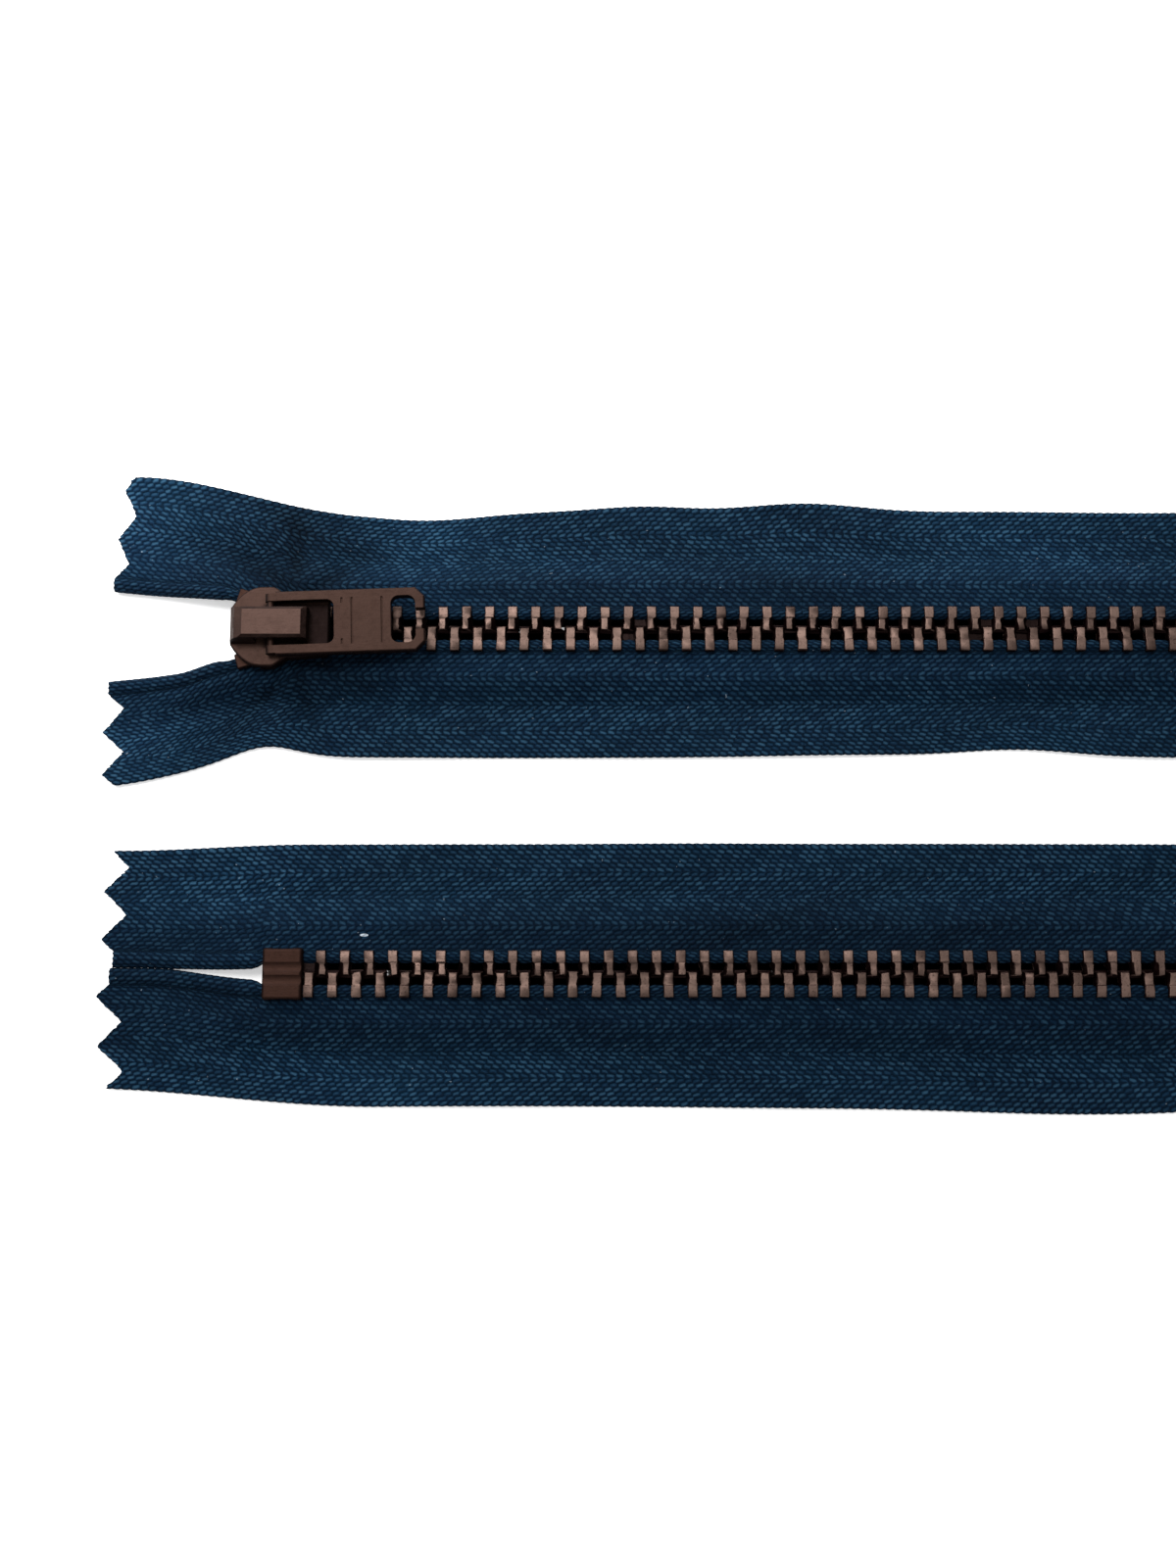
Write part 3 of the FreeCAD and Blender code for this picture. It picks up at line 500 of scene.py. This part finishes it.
# ---- materials ----------------------------------------------------------------------------
LINT_AT = (LOWER + 26.3, 2.6)               # one bit of white lint on the lower run
LINT_SIZE = (0.5, 0.16)
GAP_COLOR = (0.0001, 0.0022, 0.0070)
YARN_COLOR = (0.0028, 0.0155, 0.0365)
FLOAT_COLOR = (0.0245, 0.0700, 0.1190)
CLOUD_COLOR = (0.0030, 0.0170, 0.0330)
PURPLE_COLOR = (0.0045, 0.0075, 0.0200)
INNER_SHADE_COLOR = (0.0008, 0.0040, 0.0110)      # painted shade on the tape beside the teeth
SPECK_COLOR = (0.22, 0.27, 0.32)
LINT_COLOR = (0.4, 0.45, 0.5)
WINDOW_SHADE_HALF = 0.0029                          # metres, half the width of the painted shade between the arms
WINDOW_SHADE_FROM = 0.0036                          # metres, the painted shade starts this far behind the crown's front


def leaning_float(n, s, w, neighbour):
    """(height, brightness) of the float that one of the three nearest ribs has here."""
    rib = n.math("DIVIDE", w, RIB)
    index = n.math("ADD", n.math("FLOOR", rib), float(neighbour))
    band = n.math("FLOOR", n.math("DIVIDE", n.math("ADD", index, BAND - 1.0), float(BAND)))
    parity = n.math("FLOORED_MODULO", band, 2.0)
    slant = n.math("SUBTRACT", 1.0, n.math("MULTIPLY", parity, 2.0))
    start = n.math("MULTIPLY", n.math("MULTIPLY", slant, index), STEP_BACK)
    phase = n.math("ADD", n.math("DIVIDE", s, DASH), start)
    dash = n.math("SUBTRACT", n.math("MULTIPLY", n.math("FRACT", phase), 2.0), 1.0)
    y = n.math("SUBTRACT", n.math("MULTIPLY", n.math("SUBTRACT", rib, index), 2.0), 1.0)
    y = n.math("SUBTRACT", y, n.math("MULTIPLY", n.math("MULTIPLY", slant, dash), LEAN))
    across = n.math("SUBTRACT", 1.0, n.math("MULTIPLY", y, y), clamp=True)
    along = n.math("SUBTRACT", 1.0, n.math("POWER", n.math("ABSOLUTE", dash), 3.0))
    height = n.math("MULTIPLY", across, along)
    each = n.new("ShaderNodeTexWhiteNoise", noise_dimensions="2D")
    cell = n.new("ShaderNodeCombineXYZ")
    n.link(index, cell.inputs[0])
    n.link(n.math("FLOOR", phase), cell.inputs[1])
    n.link(cell.outputs[0], each.inputs["Vector"])
    bright = n.math("ADD", 0.5, n.math("MULTIPLY", each.outputs["Value"], 0.5))
    return height, n.math("MULTIPLY", height, bright)


def woven_material():
    """Dark blue herringbone: short leaning floats, near-black gaps, fine fibres."""
    n = Nodes("woven_polyester")
    spot = n.new("ShaderNodeAttribute", attribute_name="cloth").outputs["Vector"]
    split = n.new("ShaderNodeSeparateXYZ")
    n.link(spot, split.inputs[0])
    wobble = n.math("SUBTRACT", n.noise(spot, 0.8, 2.0), 0.5)
    wobble_2 = n.math("SUBTRACT", n.noise(spot, 1.6, 1.0), 0.5)
    w = n.math("ADD", split.outputs[1], n.math("MULTIPLY", wobble_2, 0.2))
    s = n.math("ADD", split.outputs[0], n.math("MULTIPLY", wobble, 0.6))
    floats = [leaning_float(n, s, w, neighbour) for neighbour in (-1, 0, 1)]
    height = n.math("MAXIMUM", n.math("MAXIMUM", floats[0][0], floats[1][0]), floats[2][0])
    tint = n.math("MAXIMUM", n.math("MAXIMUM", floats[0][1], floats[1][1]), floats[2][1])
    fibre_at = n.new("ShaderNodeMapping")
    fibre_at.inputs["Scale"].default_value = (2.0, 16.0, 1.0)
    n.link(spot, fibre_at.inputs["Vector"])
    fibre = n.noise(fibre_at.outputs[0], 1.0, 3.0, 0.6)
    fray = n.noise(spot, 5.0, 3.0, 0.7)
    tone = n.math("ADD", tint, n.math("MULTIPLY", n.math("SUBTRACT", fibre, 0.5), 0.4))
    tone = n.math("ADD", tone, n.math("MULTIPLY", n.math("SUBTRACT", fray, 0.5), 0.5))
    yarn = n.ramp(tone, (0.10, GAP_COLOR), (0.45, YARN_COLOR), (0.92, FLOAT_COLOR))
    cloud = n.noise(spot, 0.07, 3.0, 0.55)
    yarn = n.mix(n.math("MULTIPLY", cloud, 0.5), yarn, (*CLOUD_COLOR, 1))
    purple = n.math("MULTIPLY", n.noise(spot, 0.19, 2.0), 0.3)
    yarn = n.mix(purple, yarn, (*PURPLE_COLOR, 1))
    # painted shade: the tape darker towards the teeth, where the chain shades it
    inner = n.math("SUBTRACT", 1.0, n.math("DIVIDE", n.math("SUBTRACT", w, 3.5), 4.0), clamp=True)
    yarn = n.mix(n.math("MULTIPLY", inner, 0.42), yarn, (*INNER_SHADE_COLOR, 1))
    speck = n.math("GREATER_THAN", n.noise(spot, 2.6, 0.0), 0.885)
    yarn = n.mix(n.math("MULTIPLY", speck, 0.35), yarn, (*SPECK_COLOR, 1))
    lint = n.math("DIVIDE", n.math("SUBTRACT", split.outputs[0], LINT_AT[0]), LINT_SIZE[0])
    lint_w = n.math("DIVIDE", n.math("SUBTRACT", split.outputs[1], LINT_AT[1]), LINT_SIZE[1])
    lint = n.math("ADD", n.math("MULTIPLY", lint, lint), n.math("MULTIPLY", lint_w, lint_w))
    lint = n.math("MULTIPLY", n.math("LESS_THAN", lint, 1.0), n.math("LESS_THAN", split.outputs[2], 0.0))
    yarn = n.mix(lint, yarn, (*LINT_COLOR, 1))
    # painted shade and painted light: the cloth's colour darkened or lightened by the shade attribute
    shade = n.new("ShaderNodeAttribute", attribute_name="shade").outputs["Fac"]
    worn_and_shaded = n.new("ShaderNodeHueSaturation")
    n.link(n.math("SUBTRACT", 1.0, shade), worn_and_shaded.inputs["Value"])
    n.link(yarn, worn_and_shaded.inputs["Color"])
    n.link(worn_and_shaded.outputs["Color"], n.shader.inputs["Base Color"])
    n.link(n.math("ADD", 0.62, n.math("MULTIPLY", fibre, 0.25)), n.shader.inputs["Roughness"])
    n.shader.inputs["Sheen Weight"].default_value = 0.01
    n.shader.inputs["Sheen Roughness"].default_value = 0.4
    n.shader.inputs["Sheen Tint"].default_value = (0.3, 0.6, 0.9, 1)
    n.shader.inputs["Specular IOR Level"].default_value = 0.03
    coarse = n.bump(n.math("ADD", height, n.math("MULTIPLY", fray, 0.4)), 0.00016)
    n.link(n.bump(fibre, 0.00004, 1.0, coarse), n.shader.inputs["Normal"])
    return n.material


def painted_window_shade(n, spot):
    """1 on the slider's plate between the puller's arms, where shade is painted."""
    low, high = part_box("slider_crown")
    at = n.new("ShaderNodeSeparateXYZ")
    n.link(spot, at.inputs[0])
    across = n.math("ABSOLUTE", n.math("SUBTRACT", at.outputs[1], (low.y + high.y) / 2))
    between = n.math("MULTIPLY", n.math("SUBTRACT", WINDOW_SHADE_HALF, across), 3000.0, clamp=True)
    behind = n.math("MULTIPLY", n.math("SUBTRACT", at.outputs[0], low.x + WINDOW_SHADE_FROM), 1500.0, clamp=True)
    return n.math("MULTIPLY", between, behind)


def copper_material(name, worn_and_shaded, patina_and_shade, dark, rough, spotting=0.5, glint=0.0,
                    window_shaded=False, lighter_front=False):
    """Antique copper: worn tops, sides near black with patina and painted shade, dark spots, scratches.
    Glint paints a highlight on the edges; the slider's plate between the puller's arms can get painted
    shade, the face towards -x can be made light like the tops, and shade is painted low on the teeth."""
    n = Nodes(name)
    coords = n.new("ShaderNodeTexCoord")
    spot = coords.outputs["Object"]
    normal = n.new("ShaderNodeSeparateXYZ")
    n.link(coords.outputs["Normal"], normal.inputs[0])
    cloud = n.noise(spot, 900.0, 4.0, 0.6)
    grain = n.noise(spot, 4200.0, 3.0, 0.65)
    scratch_at = n.new("ShaderNodeMapping")
    scratch_at.inputs["Scale"].default_value = (400.0, 5200.0, 900.0)
    scratch_at.inputs["Rotation"].default_value = (0, 0, 0.5)
    n.link(spot, scratch_at.inputs["Vector"])
    scratch = n.noise(scratch_at.outputs[0], 1.0, 2.0, 0.7)
    # tops take the worn colour; sides take the patina colour, near black as painted shade
    face = n.math("POWER", n.math("ABSOLUTE", normal.outputs[2]), 8.0)
    # the face towards -x is made light like the tops
    if lighter_front:
        front = n.math("MULTIPLY", n.math("MULTIPLY", normal.outputs[0], -1.0, clamp=True), 0.75)
        face = n.math("MAXIMUM", face, front)
    rough_cloud = n.math("MULTIPLY", n.math("SUBTRACT", cloud, 0.5), 0.8)
    wear_and_shade = n.math("ADD", face, rough_cloud, clamp=True)
    color = n.mix(wear_and_shade, (*patina_and_shade, 1), (*worn_and_shaded, 1))
    spots = n.math("MULTIPLY", n.math("SUBTRACT", grain, 0.56), 6.0, clamp=True)
    color = n.mix(n.math("MULTIPLY", spots, spotting), color, (*dark, 1))
    bevel = n.new("ShaderNodeBevel", samples=4)
    bevel.inputs["Radius"].default_value = 0.00012
    # painted highlight: edges lighter where the bevelled normal turns from the plain one
    if glint:
        plain = n.new("ShaderNodeNewGeometry").outputs["Normal"]
        dot = n.new("ShaderNodeVectorMath", operation="DOT_PRODUCT")
        n.link(bevel.outputs[0], dot.inputs[0])
        n.link(plain, dot.inputs[1])
        edge = n.math("MULTIPLY", n.math("SUBTRACT", 0.97, dot.outputs["Value"]), 6.0, clamp=True)
        edge = n.math("MULTIPLY", edge, n.math("MULTIPLY", n.math("SUBTRACT", cloud, 0.4), 4.0, clamp=True))
        bright = tuple(min(1.0, 2.4 * c) for c in worn_and_shaded)
        color = n.mix(n.math("MULTIPLY", edge, glint), color, (*bright, 1))
    # painted shade low on the teeth and on their web
    recess_shade = n.new("ShaderNodeAttribute", attribute_name="recess_shade").outputs["Fac"]
    # painted shade on the plate between the puller's arms
    if window_shaded:
        recess_shade = n.math("MAXIMUM", recess_shade, painted_window_shade(n, spot))
    color = n.mix(n.math("MULTIPLY", recess_shade, 0.94), color, (*dark, 1))
    tone = n.new("ShaderNodeAttribute", attribute_name="tone").outputs["Fac"]
    lighter = n.new("ShaderNodeHueSaturation")
    n.link(n.math("ADD", 1.0, n.math("MULTIPLY", tone, 0.5)), lighter.inputs["Value"])
    n.link(color, lighter.inputs["Color"])
    n.link(lighter.outputs["Color"], n.shader.inputs["Base Color"])
    n.shader.inputs["Metallic"].default_value = 0.7
    n.shader.inputs["Specular IOR Level"].default_value = 0.12
    n.link(n.math("ADD", rough, n.math("MULTIPLY", n.math("SUBTRACT", cloud, 0.5), 0.35)),
           n.shader.inputs["Roughness"])
    relief = n.math("ADD", n.math("MULTIPLY", grain, 0.7), n.math("MULTIPLY", scratch, 0.5))
    n.link(n.bump(relief, 0.00003, 0.8, bevel.outputs[0]), n.shader.inputs["Normal"])
    return n.material


def floor_material():
    """A white table with a little light of its own."""
    n = Nodes("white_table")
    cloud = n.noise(n.object_coords(), 9.0, 3.0)
    white = n.ramp(cloud, (0.3, (0.93, 0.93, 0.93)), (0.7, (0.96, 0.96, 0.96)))
    n.link(white, n.shader.inputs["Base Color"])
    n.shader.inputs["Roughness"].default_value = 0.9
    n.shader.inputs["Specular IOR Level"].default_value = 0.1
    n.shader.inputs["Emission Color"].default_value = (1, 1, 1, 1)
    n.shader.inputs["Emission Strength"].default_value = 0.45
    return n.material


WOVEN = woven_material()
TEETH = copper_material("worn_copper_teeth", (0.125, 0.081, 0.066), (0.010, 0.0030, 0.0030),
                        (0.004, 0.0008, 0.0010), 0.45, 0.75, 1.0)
SLIDER = copper_material("matte_copper_slider", (0.056, 0.0320, 0.0255), (0.007, 0.0025, 0.002),
                         (0.004, 0.0012, 0.001), 0.55, 0.35, 0.4, lighter_front=True)
# the slider's body, with painted shade on its plate between the puller's arms
BODY = copper_material("copper_body_with_window_shade", (0.040, 0.0215, 0.0165), (0.007, 0.0025, 0.002),
                       (0.004, 0.0012, 0.001), 0.55, 0.35, 0.4, window_shaded=True)
PULLER = copper_material("matte_copper_puller", (0.032, 0.0168, 0.0125), (0.007, 0.0025, 0.002),
                         (0.004, 0.0012, 0.001), 0.55, 0.35, 0.5)
STOP = copper_material("dark_copper_stop", (0.028, 0.0125, 0.0086), (0.008, 0.003, 0.0025),
                       (0.004, 0.0015, 0.0012), 0.55, 0.4, 0.4)
SPRING = copper_material("steel_spring", (0.2, 0.19, 0.18), (0.08, 0.075, 0.07), (0.03, 0.03, 0.03), 0.4)


def declare(piece, start, end, *nodes):
    """Hides the CAD nodes that a sheet between two chain lengths stands for."""
    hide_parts(*nodes)


def build_tapes():
    for hand, side in (("left", 1), ("right", -1)):
        top = make_tape(f"{hand}_tape_at_top", TOP_END_X, UPPER_SEAM, side)
        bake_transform(top)
        declare(top, TOP_END_X, UPPER_SEAM, f"{hand}_tape_top_end", f"{hand}_tape_upper",
                f"{hand}_bead_top_end", f"{hand}_bead_upper")
        parting = make_tape(f"{hand}_tape_where_it_parts", UPPER_SEAM, FLAT_END_X, side)
        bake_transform(parting)
        declare(parting, UPPER_SEAM, FLAT_END_X, f"{hand}_tape_at_slider_limit",
                f"{hand}_tape_before_roll", f"{hand}_bead_at_slider_limit", f"{hand}_bead_before_roll")
        bend = make_tape(f"{hand}_tape_round_bend", FLAT_END_X, ROLL_END, side)
        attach(bend, "closed_chain")
        declare(bend, FLAT_END_X, ROLL_END, f"{hand}_tape_first_roll", f"{hand}_tape_first_bend",
                f"{hand}_tape_second_bend", f"{hand}_tape_second_roll", f"{hand}_bead_round_bend")
        lower = make_tape(f"{hand}_tape_lower_run", ROLL_END, BOTTOM_END, side)
        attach(lower, "closed_chain")
        declare(lower, ROLL_END, BOTTOM_END, f"{hand}_tape_lower", f"{hand}_bead_lower")


# ---- the metal ---------------------------------------------------------------------------------
def finish_of(node):
    if "stop" in node:
        return STOP
    if node == "slider_pawl":
        return SPRING
    if node == "slider_body":
        return BODY
    if node == "puller":
        return PULLER
    return SLIDER


def dress_metal():
    """The CAD's own metal parts keep their meshes and get their looks."""
    for name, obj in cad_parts.items():
        if "tape" in name or "bead" in name or "teeth" in name:
            continue
        for slot in obj.material_slots:
            slot.material = finish_of(name)


# ---- teeth ---------------------------------------------------------------------------------------
TOOTH_HALF = 0.565        # half the thickness, along the chain
TOOTH_BEVEL = 0.08
HEAD_FROM = -0.62         # the head is narrower from here to its tip
HEADS = {True: (0.37, -0.15), False: (0.5, -0.03)}    # half width and shift, by the worn side
NOSE_HALF = 0.8           # the noses all but close the gaps between the heads
NOSE = 2.42               # the blunt nose under the opposite head
SHADE_WEB = (-1.52, -0.6, 0.25) # dark web of painted shade filling the gaps beside the bead: from, to, and half thickness
SHADE_WEB_CORNERS = 8           # the shade web's corners are the last vertices of a tooth
SHADE_WEB_HALF = 2.8            # and half its length at each tooth, up to the next tooth's middle


def tooth_profile(inset):
    """Outline seen along the chain: (outward, up) round two legs, bead tunnel and head."""
    top = [(0.8, 0.36), (0.8, 0.92), (0.73, 1.05), (0.6, 1.1), (0.0, 1.1), (-0.55, 1.1),
           (HEAD_FROM - 0.05, 1.05), (-0.85, 1.03), (-1.5, 1.03), (-2.0, 1.0), (-2.12, 0.9),
           (-2.2, 0.6), (-NOSE + 0.08, 0.5), (-NOSE, 0.38)]
    tunnel = np.radians(np.linspace(-28, -332, 15))
    round_bead = [(0.73 * math.cos(a), 0.73 * math.sin(a)) for a in tunnel]
    points = np.array(top + [(y, -z) for y, z in top[::-1]] + round_bead)
    outer = np.arange(len(points)) < 2 * len(top)
    pull = np.where(outer, inset, 0.0)[:, None]
    middle = np.array([[-0.8, 0.0]])
    away = points - middle
    return points - pull * away / np.linalg.norm(away, axis=1)[:, None]


def tooth_mesh(random, worn_side, room):
    """Vertices and faces of one tooth and its dark web of painted shade, which stays within room. The
    tooth's four rings run from its -x to its +x side."""
    head_half, head_shift = HEADS[worn_side]
    rings = []
    for sign, bevel in ((-1, 0.0), (-1, TOOTH_BEVEL), (1, TOOTH_BEVEL), (1, 0.0)):
        ring = tooth_profile(0.0 if bevel else TOOTH_BEVEL)
        head = smooth((HEAD_FROM + 0.1 - ring[:, 0]) / 0.22)
        low = 1 - smooth((np.abs(ring[:, 1]) - 0.55) / 0.25)
        wider = (NOSE_HALF - TOOTH_HALF) * low + (head_half - TOOTH_HALF) * (1 - low)
        half = TOOTH_HALF + head * wider
        x = sign * (half - bevel) + head_shift * head * (1 - low)
        ring = np.column_stack([x, ring])
        ring += random.normal(0, 0.013 + 0.03 * head[:, None], ring.shape)
        rings.append(ring)
    count = len(rings[0])
    faces = [tuple(range(count))[::-1], tuple(range(3 * count, 4 * count))]
    for r in range(3):
        for k in range(count):
            m = (k + 1) % count
            faces.append((r * count + k, r * count + m, (r + 1) * count + m, (r + 1) * count + k))
    # the shade web, a dark block filling the gap beside the bead
    first, last, thick = SHADE_WEB
    reach = (max(-SHADE_WEB_HALF, room[0]), min(SHADE_WEB_HALF, room[1]))
    corners = [(y, z) for y, z in ((first, -thick), (last, -thick), (last, thick), (first, thick))]
    rings += [np.array([(x, y, z) for y, z in corners]) for x in reach]
    base = 4 * count
    faces += [(base + 3, base + 2, base + 1, base), (base + 4, base + 5, base + 6, base + 7)]
    faces += [(base + k, base + (k + 1) % 4, base + 4 + (k + 1) % 4, base + 4 + k) for k in range(4)]
    return np.concatenate(rings), faces


def row_places(side):
    """Chain lengths of one row's teeth, spaced evenly along the bead."""
    first = FIRST_TOOTH_X + (0 if side > 0 else PITCH / 2)
    places = [first]
    s = first
    while True:
        slope = (bead_offset(s - PITCH) - bead_offset(s)) / PITCH
        s -= PITCH / math.sqrt(1 + slope * slope)
        if s < TOP_STOP_REAR_X + TOOTH_THICK:
            break
        places.insert(0, s)
    last = LOWER - STOP_REAR_X - TOOTH_THICK / 2 - FIT_GAP
    return np.concatenate([places, np.arange(first + PITCH, last, PITCH)])


def tooth_axes(s, side):
    """Where a tooth sits on the bead and its own three axes."""
    centre, along, left, face, _ = PATH.at(np.array(s))
    slope = (bead_offset(s + 0.05) - bead_offset(s - 0.05)) / 0.1
    x = along + left * (side * slope)
    x /= np.linalg.norm(x)
    y = np.cross(face, x) * side
    place = centre + left * (side * bead_offset(s)) - face * bead_sink(s) + SHIFT
    return place, np.array([x, y, np.cross(x, y)])


def make_row(name, start, end, side, random):
    """The teeth of one row between two chain lengths, as one mesh."""
    points, faces, tones, recess_shades = [], [], [], []
    for s in row_places(side):
        if not start <= s < end:
            continue
        place, axes = tooth_axes(float(s), side)
        worn_side = (side > 0) == (s < FLAT_END_X)
        shape, loops = tooth_mesh(random, worn_side, (start - s, end - s))
        # painted shade: the teeth and their web darker the further below their tops
        recess_shades.append(smooth((1.0 - np.abs(shape[:, 2])) / 0.35))
        turn = random.normal(0, 0.02)
        shape[:-SHADE_WEB_CORNERS, 0] += turn * shape[:-SHADE_WEB_CORNERS, 1]
        base = sum(len(p) for p in points)
        points.append(shape @ axes + place)
        faces += [tuple(base + k for k in loop) for loop in loops]
        tones += [random.uniform(-0.5, 0.5)] * len(shape)
    mesh = bpy.data.meshes.new(name)
    mesh.from_pydata((np.concatenate(points) * MM).tolist(), [], faces)
    mesh.update()
    mesh.polygons.foreach_set("use_smooth", [True] * len(mesh.polygons))
    mesh.set_sharp_from_angle(angle=math.radians(30))
    tone = mesh.attributes.new("tone", "FLOAT", "POINT")
    tone.data.foreach_set("value", tones)
    recess_shade = mesh.attributes.new("recess_shade", "FLOAT", "POINT")
    recess_shade.data.foreach_set("value", np.concatenate(recess_shades))
    mesh.materials.append(TEETH)
    obj = bpy.data.objects.new(name + "_worn", mesh)
    bpy.context.collection.objects.link(obj)
    return obj


def build_teeth():
    random = np.random.default_rng(11)
    for hand, side in (("left", 1), ("right", -1)):
        for place, start, end, body in (
                ("top_end", TOP_END_X, FLEX_TOP, f"{hand}_top"),
                ("upper", FLEX_TOP, FLEX_MIDDLE, f"{hand}_middle"),
                ("at_slider_limit", FLEX_MIDDLE, FLEX_LOW, f"{hand}_low"),
                ("before_roll", FLEX_LOW, FLAT_END_X, "closed_chain"),
                ("round_bend", FLAT_END_X, ROLL_END, "closed_chain"),
                ("lower", ROLL_END, BOTTOM_END, "closed_chain")):
            node = f"{hand}_teeth_{place}"
            row = make_row(node, start, end, side, random)
            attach(row, body)
            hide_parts(node)


# ---- the table, the lights and the camera, in metres -----------------------------------------
TABLE_HALF = 12.0
TABLE_DROP = 0.00005
WORLD_STRENGTH = 0.52
TILT = math.radians(9.5)
DISTANCE = 190.25                     # millimetres, like the target
TARGET = np.array([0.0, 1.66, 3.07]) + SHIFT


def add_floor():
    mesh = bpy.data.meshes.new("table_top")
    signs = ((-1, -1), (1, -1), (1, 1), (-1, 1))
    corners = [(x * TABLE_HALF, y * TABLE_HALF, -TABLE_DROP) for x, y in signs]
    mesh.from_pydata(corners, [], [(0, 1, 2, 3)])
    floor = bpy.data.objects.new("table_top", mesh)
    bpy.context.collection.objects.link(floor)
    mesh.materials.append(floor_material())


def add_light(name, place, size, size_y, power, aim):
    data = bpy.data.lights.new(name, "AREA")
    data.shape = "RECTANGLE"
    data.size = size
    data.size_y = size_y
    data.energy = power
    light = bpy.data.objects.new(name, data)
    bpy.context.collection.objects.link(light)
    light.visible_camera = False
    light.location = place
    direction = aim - light.location
    light.rotation_mode = "QUATERNION"
    light.rotation_quaternion = direction.to_track_quat("-Z", "Y")


def add_lights(aim):
    world = bpy.data.worlds.new("soft_room")
    world.use_nodes = True
    world.node_tree.nodes["Background"].inputs[0].default_value = (1, 1, 1, 1)
    world.node_tree.nodes["Background"].inputs[1].default_value = WORLD_STRENGTH
    bpy.context.scene.world = world
    upper_strip = aim + Vector((0.0, 0.028, 0.0))
    add_light("key_light", aim + Vector((-0.02, 0.088, 0.040)), 0.24, 0.03, 0.17, upper_strip)
    add_light("top_light", aim + Vector((-0.25, 0.35, 0.90)), 0.4, 0.4, 7.0, aim)


def add_camera():
    data = bpy.data.cameras.new("camera")
    data.sensor_width = 36.0
    data.lens = 36.77
    data.clip_start = 0.01
    camera = bpy.data.objects.new("camera", data)
    bpy.context.collection.objects.link(camera)
    place = TARGET + DISTANCE * np.array([0, -math.sin(TILT), math.cos(TILT)])
    camera.location = tuple(place * MM)
    camera.rotation_euler = (TILT, 0, 0)
    bpy.context.scene.camera = camera
    bpy.context.scene.view_settings.view_transform = "Standard"
    return Vector(TARGET * MM)


build_tapes()
build_teeth()
dress_metal()
add_floor()
add_lights(add_camera())
